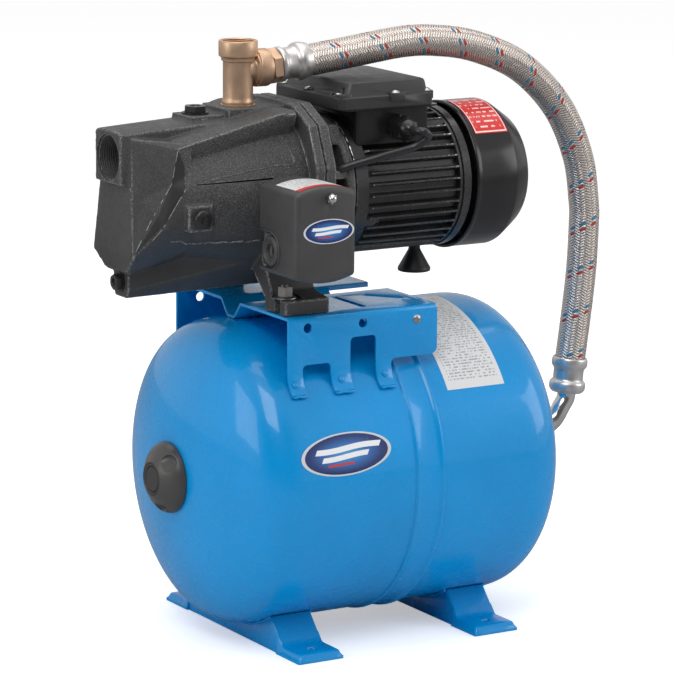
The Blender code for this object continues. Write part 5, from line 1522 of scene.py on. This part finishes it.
# distance towards the front, radius
GLAND_BODY = [(0.0495, 0.0043), (0.0495, 0.0074), (0.0606, 0.0074), (0.0608, 0.01),
              (0.0636, 0.01), (0.064, 0.0092), (0.066, 0.0088), (0.066, 0.0043)]
GLAND_NOSE = [(0.0735, 0.0041), (0.0735, 0.01), (0.075, 0.0098), (0.0772, 0.009),
              (0.0795, 0.0076), (0.0815, 0.006), (0.0826, 0.005), (0.0828, 0.0041)]
gland = join(hex_head(0.0538, 0.0606, 0.0215, GLAND, FRONT, 0.0006),
             turned(GLAND_BODY, GLAND, FRONT, 40),
             hex_head(0.0648, 0.074, 0.0212, GLAND, FRONT, 0.0007),
             turned(GLAND_NOSE, GLAND, FRONT, 40))
put("cable_gland_nut", gland, COWL, "cable_gland", sharp=32)
# from the gland down to the pressure switch
CABLE_PATH = [
    (0.0225, -0.052, 0.481), (0.0225, -0.066, 0.481), (0.0225, -0.08, 0.481),
    (0.0226, -0.087, 0.4812), (0.0262, -0.0955, 0.4815), (0.0325, -0.093, 0.4755),
    (0.0215, -0.084, 0.4655), (-0.01, -0.0765, 0.4575), (-0.038, -0.065, 0.449),
    (-0.049, -0.058, 0.44), (-0.051, -0.058, 0.422), (-0.0515, -0.07, 0.402),
    (-0.058, -0.0918, 0.3895), (-0.07, -0.102, 0.3862), (-0.0775, -0.1056, 0.3857)]
put("cable", swept(smooth_path(CABLE_PATH, 0.003), 0.0038, 20), CABLE, "motor_cable",
    sharp=180)

# ---------------------------------------------------------------- brass tee
# z, radius of the upright
TEE_POST = [
    (0.4902, 0.015), *screw_thread(0.491, 0.5046, root=0.0152, crest=0.0163, pitch=0.0018),
    (0.505, 0.0146), (0.5062, 0.015), (0.5072, 0.0151), (0.5084, 0.0147), (0.51, 0.0142),
    (0.512, 0.014), (0.544, 0.0141), (0.5447, 0.0143), (0.545, 0.015), (0.5454, 0.0157),
    (0.548, 0.0158), (0.5486, 0.0163), (0.549, 0.0173), (0.5495, 0.0179), (0.5502, 0.0181),
    (0.5629, 0.0182), (0.5636, 0.0179), (0.564, 0.0173)]
# x, radius of the branch to the right
TEE_BRANCH = [
    (-0.118, 0.0125), (-0.104, 0.013), (-0.1032, 0.0136), (-0.1026, 0.0152), (-0.1022, 0.016),
    (-0.1014, 0.0163), (-0.1008, 0.0163), (-0.1004, 0.0167), (-0.1001, 0.0173),
    (-0.0996, 0.0176), (-0.0887, 0.0177), (-0.0879, 0.0175), (-0.0875, 0.0169)]
TEE_POST_BORE = [(0.48, 0.0108), (0.5475, 0.0108), (0.5485, 0.015), (0.5632, 0.0152),
                 (0.5642, 0.0162), (0.58, 0.0162)]
TEE_BRANCH_BORE = [(-0.117, 0.01), (-0.0945, 0.01), (-0.094, 0.0152), (-0.06, 0.0152)]
post_at, branch_at = (TEE_X, 0, 0), (0, 0, TEE_Z)
tee = combine(solid(TEE_POST, post_at, UP, 72), add(solid(TEE_BRANCH, branch_at, seg=72)),
              cut(solid(TEE_POST_BORE, post_at, UP, 64)),
              cut(solid(TEE_BRANCH_BORE, branch_at, seg=64)))
tee_thread = bore_thread(0.5488, 0.5632, root=0.0152, crest=0.0143, outer=0.0156, pitch=0.0018,
                         origin=post_at, direction=UP)
put("brass_tee", join(tee, tee_thread), BRASS, "discharge_tee")

# ---------------------------------------------------------------- hose assembly
SLOPE = radians(5.5)   # the hose leaves the tee slightly uphill
ALONG = Vector((cos(SLOPE), 0, sin(SLOPE)))
START = Vector((-0.0855, 0, TEE_Z + 0.0004))
END_DIR = Vector((-0.105, 0, -0.99)).normalized()
END = Vector((0.2622, 0, 0.227))
HOSE = [
    tuple(START + ALONG * 0.013), tuple(START + ALONG * 0.03), (-0.038, 0, 0.5413),
    (0.0233, 0, 0.5486), (0.059, 0, 0.5525), (0.094, 0, 0.5522), (0.142, 0, 0.544),
    (0.1958, 0, 0.521), (0.24, 0, 0.48), (0.2655, 0, 0.43), (0.274, 0, 0.385), (0.275, 0, 0.36),
    (0.273, 0, 0.315), (0.268, 0, 0.27), (0.2622, 0, 0.227)]
nipple_thread = screw_thread(-0.0065, -0.0008, root=0.013, crest=0.0138, pitch=0.0018)
nipple = combine(hex_head(0.0, 0.0088, 0.029, START, ALONG, 0.0012),
                 add(rod(0.008, 0.025, 0.009, START, ALONG, 40)),
                 add(solid(nipple_thread + [(0.001, 0.013)], START, ALONG, 48)),
                 cut(rod(-0.03, 0.04, 0.007, START, ALONG, 32)))
put("nipple", nipple, BRASS, "hose_nipple", sharp=30)
# distance along the hose, radius: outside first, then back along the bore
UPPER_FERRULE = [
    (0.0093, 0.0093), (0.0093, 0.0155), (0.0096, 0.0161), (0.0103, 0.0165), (0.012, 0.0168),
    (0.0138, 0.0165), (0.015, 0.0157), (0.016, 0.015), (0.0175, 0.0148), (0.0245, 0.0147),
    (0.0264, 0.015), (0.0278, 0.0158), (0.0289, 0.017), (0.0303, 0.0178), (0.0325, 0.0181),
    (0.0352, 0.0179), (0.0373, 0.0174), (0.0393, 0.0168), (0.0406, 0.0166), (0.0412, 0.0163),
    (0.0412, 0.0157), (0.0352, 0.0157), (0.029, 0.0131), (0.0125, 0.0131), (0.0125, 0.0093)]
LOWER_FERRULE = [
    (-0.001, 0.0157), (-0.001, 0.0165), (-0.0002, 0.0171), (0.001, 0.0175), (0.004, 0.0178),
    (0.0065, 0.0177), (0.008, 0.0171), (0.0092, 0.0161), (0.0104, 0.0153), (0.012, 0.0149),
    (0.02, 0.0149), (0.0214, 0.0153), (0.0224, 0.0163), (0.0236, 0.0174), (0.0252, 0.0179),
    (0.029, 0.018), (0.0308, 0.0176), (0.0322, 0.0167), (0.0334, 0.0156), (0.034, 0.0148),
    (0.0341, 0.0093), (0.0245, 0.0093), (0.0245, 0.0131), (0.0105, 0.0131), (0.004, 0.0157)]
for end, profile, origin, direction in (("upper", UPPER_FERRULE, START, ALONG),
                                        ("lower", LOWER_FERRULE, END, END_DIR)):
    put(f"ferrule_{end}", turned(profile, origin, direction, 72), NICKEL,
        f"hose_ferrule_{end}", sharp=60)


def braid_height(around, along):
    """Height of a strand woven over two and under two, from the strand counts both ways."""
    first, second = around + along, around - along
    whole_first, whole_second = floor(first), floor(second)
    over = (whole_first + whole_second) % 4 < 2
    across, run = first - whole_first, second - whole_second
    if not over:
        across, run = run, across
    height = sin(pi * min(1, max(0, across))) ** 0.55
    odd = (whole_first + whole_second) % 2
    return height * (0.72 + 0.28 * sin(pi * (run + (1 - odd if over else odd)) / 2))


def braid():
    seg, strands, lead = 80, 16, 0.044   # lead is the length of one turn of a strand
    path = smooth_path(HOSE, 0.00055) + [END + END_DIR * 0.002 * k for k in range(1, 6)]
    last = len(path) - 1
    distances = [0.0]
    for before, here in zip(path, path[1:]):
        distances.append(distances[-1] + (here - before).length)
    shape = bmesh.new()
    layer = shape.loops.layers.uv.new("UVMap")

    def ring(i, radii):
        across = Vector(BACK)
        tangent = (path[min(i + 1, last)] - path[max(i - 1, 0)]).normalized()
        other = tangent.cross(across).normalized()
        return [shape.verts.new(path[i] + (across * cos(2 * pi * j / seg)
                                           + other * sin(2 * pi * j / seg)) * radii[j])
                for j in range(seg)]

    rows = []
    for i, distance in enumerate(distances):
        along = distance / lead * strands
        # the hose narrows under the ferrules
        share = max(0.0, (0.022 - distance) / 0.006, (distance - distances[-1] + 0.006) / 0.006)
        crimp = (HOSE_R - CRIMP_R) * min(1.0, share)
        radii = [HOSE_R - 0.00085 + 0.00095 * braid_height(strands * j / seg, along) - crimp
                 for j in range(seg)]
        rows.append((ring(i, radii), along))
    for (row, start), (after, stop) in zip(rows, rows[1:]):
        for j in range(seg):
            k = (j + 1) % seg
            face = shape.faces.new((row[j], row[k], after[k], after[j]))
            corners = ((j, start), (j + 1, start), (j + 1, stop), (j, stop))
            for loop, (around, along) in zip(face.loops, corners):
                loop[layer].uv = (strands * around / seg, along)
    # smooth inner tube, joined to the jacket at both ends
    inner = [ring(i, [0.0096] * seg) for i in (*range(0, last + 1, 12), last)]
    bridges = [(after, row) for row, after in zip(inner, inner[1:])]
    bridges += [(inner[0], rows[0][0]), (rows[-1][0], inner[-1])]
    for row, after in bridges:
        for j in range(seg):
            k = (j + 1) % seg
            shape.faces.new((row[j], row[k], after[k], after[j]))
    return shape


put("braid", braid(), BRAID, "braided_hose", sharp=180)
elbow_start = END + END_DIR * 0.018
ELBOW = [
    tuple(elbow_start), tuple(elbow_start + END_DIR * 0.013), tuple(elbow_start + END_DIR * 0.022),
    (0.253, 0, 0.1795), (0.244, 0, 0.1665), (0.232, 0, 0.1598), (0.222, 0, 0.1586),
    (0.2122, 0, 0.1586)]
elbow_collar = [(0.21, 0.0145), (0.2105, 0.015), (0.213, 0.015), (0.2136, 0.014),
                (0.215, 0.0102)]
# the bore runs past both ends of the elbow
elbow_bore = [(ELBOW[0][0] + 0.001, 0, ELBOW[0][2] + 0.01), *ELBOW, (0.2, 0, 0.1586)]
elbow = combine(swept(smooth_path(ELBOW, 0.0025), 0.009, 40),
                add(solid(elbow_collar, TANK, seg=48)),
                cut(swept(smooth_path(elbow_bore, 0.0025), 0.0066, 24)))
put("elbow", elbow, CHROME, "hose_elbow", sharp=50)
nut = combine(hex_head(0.199, 0.219, 0.0367, TANK, RIGHT, 0.0016),
              cut(rod(0.19, 0.2145, 0.0171, TANK, seg=48)),
              cut(rod(0.21, 0.23, 0.0098, TANK, seg=40)))
put("union_nut", nut, CHROME, "swivel_nut", "swivel_nut", sharp=30)

# ---------------------------------------------------------------- air valve cap
# distance to the left, radius
VALVE_INNER = [(0.2045, 0.0145), (0.201, 0.0185), (0.1975, 0.0225), (0.194, 0.0262),
               (0.1915, 0.029), (0.1895, 0.0305)]
VALVE_OUTER = [
    (0.1884, 0.0312), (0.1884, 0.0331), (0.1888, 0.0335), (0.1896, 0.0337), (0.1912, 0.0336),
    (0.1936, 0.033), (0.196, 0.0319), (0.1985, 0.0301), (0.2008, 0.0277), (0.203, 0.0247),
    (0.205, 0.0213), (0.2064, 0.019), (0.2073, 0.0176), (0.2078, 0.0168), (0.208, 0.0162),
    (0.2076, 0.0158), (0.207, 0.0156)]


def valve_cap():
    """Domed cap with three round dimples on its slope."""
    dimple = [(-0.0026, 0.0072), (-0.0022, 0.008), (-0.0012, 0.0086), (0, 0.0088),
              (0.012, 0.0092)]
    steps = []
    for k in range(3):
        angle = radians(137 + 120 * k)
        centre = (-0.2014, 0.0268 * cos(angle), TANK_Z + 0.0268 * sin(angle))
        outward = Vector((-0.52, 0.854 * cos(angle), 0.854 * sin(angle))).normalized()
        steps.append(cut(solid(dimple, centre, outward, 48)))
    return combine(solid(VALVE_INNER + VALVE_OUTER, TANK, LEFT, 128), *steps)


put("air_valve_cap", bevelled(valve_cap(), 0.0004, 2, 50), CAP,
    "valve_cap", "valve_cap", sharp=34)
VALVE_FACE = [(0.2062, 0.015), (0.2071, 0.0153), (0.2074, 0.015), (0.2074, 0.0128),
              (0.207, 0.0124), (0.207, 0.0118), (0.2074, 0.0114)]
put("air_valve_face", solid(VALVE_FACE, TANK, LEFT, 72), GRAPHITE,
    body="valve_cap")

# ---------------------------------------------------------------- pressure switch
HOLE_Y, HOLE_Z = -0.1056, 0.3857   # axis of the conduit holes, along x
HOLE = (SWITCH_X, HOLE_Y, HOLE_Z)
STUD, SPRING = (-0.108, 0, 0.4378), (-0.124, 0, 0.424)
HOOD_HALF, HOOD_LOW, HOOD_TOP, HOOD_SAG = 0.0315, 0.366, 0.4425, 0.006


def switch_plate():
    plate = prism(rounded_rect(SWITCH_X - 0.0285, SWITCH_X + 0.0285, 0.371, 0.4405, 0.003),
                  "Y", -0.092, -0.0891)
    ears = []
    for side in SIDES:
        x0, x1 = sorted((SWITCH_X + side * 0.0285, SWITCH_X + side * 0.026))
        ears.append(add(block(x0, x1, -0.1205, -0.09, 0.3712, 0.4)))
    plate = combine(plate, *ears, cut(rod(-0.05, 0.05, 0.0065, HOLE, seg=40)))
    cover_stud = screw_thread(0.09, 0.154, root=0.00165, crest=0.002, pitch=0.0008)
    spring_stud = screw_thread(0.09, 0.1325, root=0.0019, crest=0.0023, pitch=0.0008)
    return join(bevelled(plate, 0.0004, 2, 50),
                solid(cover_stud + [(0.1545, 0.0014)], STUD, FRONT, 20),
                solid(spring_stud + [(0.133, 0.0016)], SPRING, FRONT, 20))


put("switch_plate", switch_plate(), STEEL, "switch_base", sharp=35)
# distance outward along x, radius
CONDUIT_BOSS = [
    (0.0262, 0.0066), (0.0262, 0.0143), (0.03, 0.0143), (0.0312, 0.014), (0.0322, 0.0132),
    (0.033, 0.0122), (0.0334, 0.011), (0.0331, 0.01), (0.0322, 0.0096), (0.0318, 0.0088),
    (0.0322, 0.008), (0.032, 0.007), (0.0312, 0.0066)]
put("conduit_bosses", join(*(turned(CONDUIT_BOSS, HOLE, (side, 0, 0), 56) for side in SIDES)),
    COVER, sharp=45)


def bowed(y, inset, radius):
    """Section of the hood: straight sides, bowed top and bottom, rounded corners."""
    half, low, top = HOOD_HALF - inset, HOOD_LOW + inset, HOOD_TOP - inset
    ring = []

    def corner(x, z, start, stop):
        for k in range(5):
            angle = radians(start + (stop - start) * k / 4)
            ring.append((SWITCH_X + x + radius * cos(angle), y, z + radius * sin(angle)))

    def bow(x):
        return HOOD_SAG * (1 - (x / half) ** 2)

    slope = degrees(atan(2 * HOOD_SAG / half)) * 0.9
    inner = half - radius
    high_z, low_z = top + bow(inner) - radius, low - bow(inner) + radius
    stations = [(half - radius * 0.6) * (1 - 2 * k / 16) for k in range(1, 16)]
    corner(inner, high_z, 0, 90 - slope)
    ring += [(SWITCH_X + x, y, top + bow(x)) for x in stations]
    corner(-inner, high_z, 90 + slope, 180)
    corner(-inner, low_z, 180, 270 - slope)
    ring += [(SWITCH_X - x, y, low - bow(x)) for x in stations]
    corner(inner, low_z, 270 + slope, 360)
    return ring


def switch_hood():
    edge = 0.005
    outer = [bowed(SWITCH_BACK, 0, 0.004), bowed(SWITCH_FRONT + edge, 0, 0.004)]
    for angle in (18, 36, 54, 72, 90):
        inset = edge * (1 - cos(radians(angle)))
        outer.append(bowed(SWITCH_FRONT + edge * (1 - sin(radians(angle))), inset,
                           max(0.0008, 0.004 - inset * 0.6)))
    inner = [bowed(SWITCH_BACK, 0.0018, 0.003), bowed(SWITCH_FRONT + edge, 0.0018, 0.003),
             bowed(SWITCH_FRONT + 0.002, 0.005, 0.002)]
    # arches open to the back round the conduit bosses, and a hole for the stud
    hood = combine(cup(outer, inner), cut(rod(-0.05, 0.05, 0.0163, HOLE, seg=64)),
                   cut(block(SWITCH_X - 0.05, SWITCH_X + 0.05, HOLE_Y, -0.08,
                             HOLE_Z - 0.0163, HOLE_Z + 0.0163)),
                   cut(rod(0.14, 0.16, 0.0028, STUD, FRONT)))
    return bevelled(hood, 0.0005, 3, 50)


def hood_rim(side):
    """Raised rim round a conduit arch."""
    radius = 0.0172
    line = [(y, HOLE_Z + radius) for y in (-0.0868, -0.096)]
    line += [(HOLE_Y - radius * sin(radians(k)), HOLE_Z + radius * cos(radians(k)))
             for k in range(0, 181, 8)]
    line += [(y, HOLE_Z - radius) for y in (-0.096, -0.0868)]
    return swept([(SWITCH_X + side * 0.0318, y, z) for y, z in line], 0.0009, 10)


put("switch_hood", switch_hood(), COVER, "switch_cover", "switch_cover",
    sharp=38)
put("switch_hood_rims", join(*map(hood_rim, SIDES)), COVER,
    body="switch_cover", sharp=180)
NUT_DOME = [(0.1555, 0), (0.1555, 0.0041), (0.1562, 0.0042), (0.1578, 0.0038), (0.1592, 0.0028),
            (0.16, 0.0015), (0.1603, 0)]
NUT_BORE = [(0.15, 0), (0.15, 0.0022), (0.155, 0.0022), (0.1555, 0.0018), (0.1565, 0)]
acorn = combine(hex_head(0.1523, 0.156, 0.0086, STUD, FRONT, 0.0004),
                add(turned(NUT_DOME, STUD, FRONT, 40)), cut(turned(NUT_BORE, STUD, FRONT)))
put("dome_nut", acorn, CHROME, "acorn_nut", "acorn_nut", sharp=30)
coil = [(SPRING[0] + 0.0058 * cos(2 * pi * k / 40), -0.0945 - 0.03 * k / 160,
         SPRING[2] + 0.0058 * sin(2 * pi * k / 40)) for k in range(161)]
put("range_coil", swept(coil, 0.001, 14), STEEL, "range_spring", sharp=180)


# ---------------------------------------------------------------- badges and labels
def write_uvs(shape, layer, places):
    for face in shape.faces:
        for loop in face.loops:
            loop[layer].uv = places[loop.vert]
    return shape


def oval(place, half_width, half_height, thick):
    """Thin oval plate on a surface: place gives point and normal; UVs run 0..1 across it."""
    seg, rings = 64, 10
    shape = bmesh.new()
    layer = shape.loops.layers.uv.new("UVMap")
    uvs = {}

    def pair(x, y, lift):
        """Upper and lower vertex at a place given as shares of the half sizes."""
        point, normal = map(Vector, place(x * half_width, y * half_height))
        made = shape.verts.new(point + normal * lift), shape.verts.new(point)
        for vert in made:
            uvs[vert] = (0.5 + x / 2, 0.5 + y / 2)
        return made

    top, low = pair(0, 0, thick)
    rows = []
    for k in range(1, rings + 1):
        share = k / rings
        lift = thick * (1.0 if k < rings else 0.55)   # the outer edge is lower
        rows.append([pair(cos(2 * pi * j / seg) * share, sin(2 * pi * j / seg) * share, lift)
                     for j in range(seg)])
    tops, lows = ([[made[face] for made in row] for row in rows] for face in (0, 1))
    for i in range(seg):
        j = (i + 1) % seg
        shape.faces.new((top, tops[0][i], tops[0][j]))
        shape.faces.new((low, lows[0][j], lows[0][i]))
        for k in range(rings - 1):
            shape.faces.new((tops[k][i], tops[k + 1][i], tops[k + 1][j], tops[k][j]))
            shape.faces.new((lows[k][i], lows[k][j], lows[k + 1][j], lows[k + 1][i]))
        shape.faces.new((tops[-1][i], lows[-1][i], lows[-1][j], tops[-1][j]))
    return write_uvs(shape, layer, uvs)


def label(corners, columns, rows, place):
    """Thin closed sheet on a surface; UVs run 0..1.  corners are surface coordinates: low left,
    low right, high right, high left; place turns such coordinates into point and normal."""
    low_left, low_right, high_right, high_left = map(Vector, corners)
    shape = bmesh.new()
    layer = shape.loops.layers.uv.new("UVMap")
    grid = []
    for i in range(columns + 1):
        low, high = (low_left.lerp(low_right, i / columns), high_left.lerp(high_right, i / columns))
        grid.append([place(*low.lerp(high, j / rows)) for j in range(rows + 1)])
    top, low = ([[shape.verts.new(point + normal * lift) for point, normal in line]
                 for line in grid] for lift in (0.00025, 0.0))
    uvs = {face[i][j]: (i / columns, j / rows)
           for face in (top, low) for i in range(columns + 1) for j in range(rows + 1)}
    for i in range(columns):
        for j in range(rows):
            shape.faces.new((top[i][j], top[i + 1][j], top[i + 1][j + 1], top[i][j + 1]))
            shape.faces.new((low[i][j], low[i][j + 1], low[i + 1][j + 1], low[i + 1][j]))
    rim = [(i, 0) for i in range(columns + 1)] + [(columns, j) for j in range(1, rows + 1)]
    rim += [(i, rows) for i in range(columns - 1, -1, -1)]
    rim += [(0, j) for j in range(rows - 1, 0, -1)]
    for (i, j), (after_i, after_j) in zip(rim, rim[1:] + rim[:1]):
        shape.faces.new((top[i][j], low[i][j], low[after_i][after_j], top[after_i][after_j]))
    return write_uvs(shape, layer, uvs)


def on_switch(x, z):
    return (-0.109 + x, SWITCH_FRONT - 0.0001, 0.4078 + z), FRONT


def on_tank(across, up):
    """The badge lies on the cylinder, tilted slightly up to the right."""
    tilt = radians(2.0)
    x = across * cos(tilt) - up * sin(tilt)
    rise = across * sin(tilt) + up * cos(tilt)
    angle = asin((0.1975 - TANK_Z) / TANK_R) + rise / TANK_R
    y, z = -(TANK_R + 0.0001) * cos(angle), TANK_Z + (TANK_R + 0.0001) * sin(angle)
    return (-0.0808 + x, y, z), Vector((0, y, z - TANK_Z)).normalized()


def on_cylinder(radius, axis_z):
    """Surface coordinates are x and the angle from the top towards the front."""
    def place(x, angle):
        point = Vector((x, -radius * sin(angle), axis_z + radius * cos(angle)))
        return point, Vector((0, -sin(angle), cos(angle)))
    return place


def on_hood(x, y):
    slope = -2 * HOOD_SAG * x / HOOD_HALF ** 2
    z = HOOD_TOP + HOOD_SAG * (1 - (x / HOOD_HALF) ** 2) + 0.0001
    return Vector((SWITCH_X + x, y, z)), Vector((-slope, 0, 1)).normalized()


put("switch_badge", oval(on_switch, 0.0264, 0.0113, 0.0004), BADGE,
    body="switch_cover", sharp=30)
put("tank_badge", oval(on_tank, 0.048, 0.0197, 0.0005), BADGE, sharp=30)
low_angle = atan2(0.1204, 0.2405 - TANK_Z)
tank_label = label([(0.0409, low_angle), (0.1042, low_angle), (0.1042, -0.02), (0.0409, -0.02)],
                   24, 34, on_cylinder(TANK_R + 0.0001, TANK_Z))
put("tank_label", tank_label, TANK_LABEL, sharp=60)
cowl_label = label([(0.11, 0.88), (0.1466, 0.88), (0.1462, 0.045), (0.11, 0.045)], 12, 24,
                   on_cylinder(0.0705, SHAFT_Z))
put("cowl_label", cowl_label, RED_LABEL, sharp=60)
label_front = SWITCH_FRONT + 0.0062
switch_label = label([(-0.025, label_front), (0.0262, label_front), (0.0262, -0.104),
                      (-0.025, -0.104)], 24, 8, on_hood)
put("switch_label", switch_label, SWITCH_LABEL, body="switch_cover", sharp=60)


# ---------------------------------------------------------------- floor
def floor_material():
    """White floor that glows a little to the camera and looks dark in reflections."""
    shader = Shader("studio_floor_paint")
    rays = add_node(shader.tree, "ShaderNodeLightPath").outputs
    color = mix(Value(rays["Is Glossy Ray"]), (0.93, 0.93, 0.93), (0.30, 0.30, 0.31))
    return shader.finish(color=color, rough=0.6, glow=(1, 1, 1),
                         glow_strength=Value(rays["Is Camera Ray"]) * 0.44)


def studio_floor():
    shape = bmesh.new()
    corners = [shape.verts.new((x, y, -0.0002)) for y in (-9.0, 9.0) for x in (-9.0, 9.0)]
    shape.faces.new([corners[k] for k in (0, 1, 3, 2)])
    mesh = bpy.data.meshes.new("studio_floor")
    shape.to_mesh(mesh)
    shape.free()
    mesh.materials.append(floor_material())
    mesh.shade_smooth()
    ob = bpy.data.objects.new("studio_floor", mesh)
    bpy.context.scene.collection.objects.link(ob)


studio_floor()


# ---------------------------------------------------------------- world, lights and camera
def studio_world():
    """White all round apart from the darker side where the camera stands, which the camera
    itself never sees."""
    world = bpy.data.worlds.new("studio")
    world.use_nodes = True
    tree = world.node_tree
    direction = Value(add_node(tree, "ShaderNodeTexCoord").outputs["Generated"])
    camera_side = Vector((-0.506, -0.839, 0.10)).normalized()
    facing = add_node(tree, "ShaderNodeVectorMath", {0: direction, 1: camera_side},
                      operation="DOT_PRODUCT")
    dark = remap(Value(facing.outputs["Value"]), span=(0.45, 0.85),
                 interpolation_type="SMOOTHSTEP")
    camera_ray = Value(add_node(tree, "ShaderNodeLightPath").outputs["Is Camera Ray"])
    unseen = math_node("SUBTRACT", dark, camera_ray, use_clamp=True)
    background = tree.nodes["Background"].inputs
    feed(background[0], mix(unseen, (1.0, 1.0, 1.0), (0.16, 0.16, 0.165)))
    # strength 1 to the camera, 0.62 to everything else
    feed(background[1], math_node("MULTIPLY_ADD", camera_ray, 0.38, 0.62))
    return world


scene = bpy.context.scene
scene.view_settings.view_transform = "Standard"
scene.world = studio_world()

# name, place, height it aims at, size, power in watts
LIGHTS = [
    ("key", (-1.4, -1.6, 2.6), 0.25, 1.6, 34),
    ("fill", (2.4, -1.6, 1.3), 0.25, 1.4, 16),
    ("left", (-2.8, 0.2, 1.2), 0.25, 1.4, 12),
    ("top", (0.2, 0.3, 2.6), 0.3, 2.2, 20),
]
for name, location, aim, size, power in LIGHTS:
    light = bpy.data.lights.new(name, "AREA")
    light.energy, light.size = power, size
    lamp = bpy.data.objects.new(name, light)
    lamp.location = location
    toward = Vector((0, 0, aim)) - Vector(location)
    lamp.rotation_euler = toward.to_track_quat("-Z", "Y").to_euler()
    scene.collection.objects.link(lamp)

CAMERA_TARGET = Vector((-0.0072, 0, 0.2737))
CAMERA_DISTANCE = 3.5
SENSOR, LENS = 36.0, 196.224   # millimetres
azimuth, elevation, roll = radians(-31.106), radians(11.527), radians(0.538)
backward = Vector((sin(azimuth) * cos(elevation), -cos(azimuth) * cos(elevation),
                   sin(elevation)))
level = Vector((cos(azimuth), sin(azimuth), 0))
upright = backward.cross(level)
camera_right = level * cos(roll) + upright * sin(roll)
camera_up = -level * sin(roll) + upright * cos(roll)
camera_data = bpy.data.cameras.new("camera")
camera_data.sensor_width, camera_data.lens, camera_data.clip_end = SENSOR, LENS, 50.0
camera = bpy.data.objects.new("camera", camera_data)
pose = Matrix((camera_right, camera_up, backward)).transposed().to_4x4()
pose.translation = CAMERA_TARGET + OFFSET + backward * CAMERA_DISTANCE
camera.matrix_world = pose
scene.collection.objects.link(camera)
scene.camera = camera
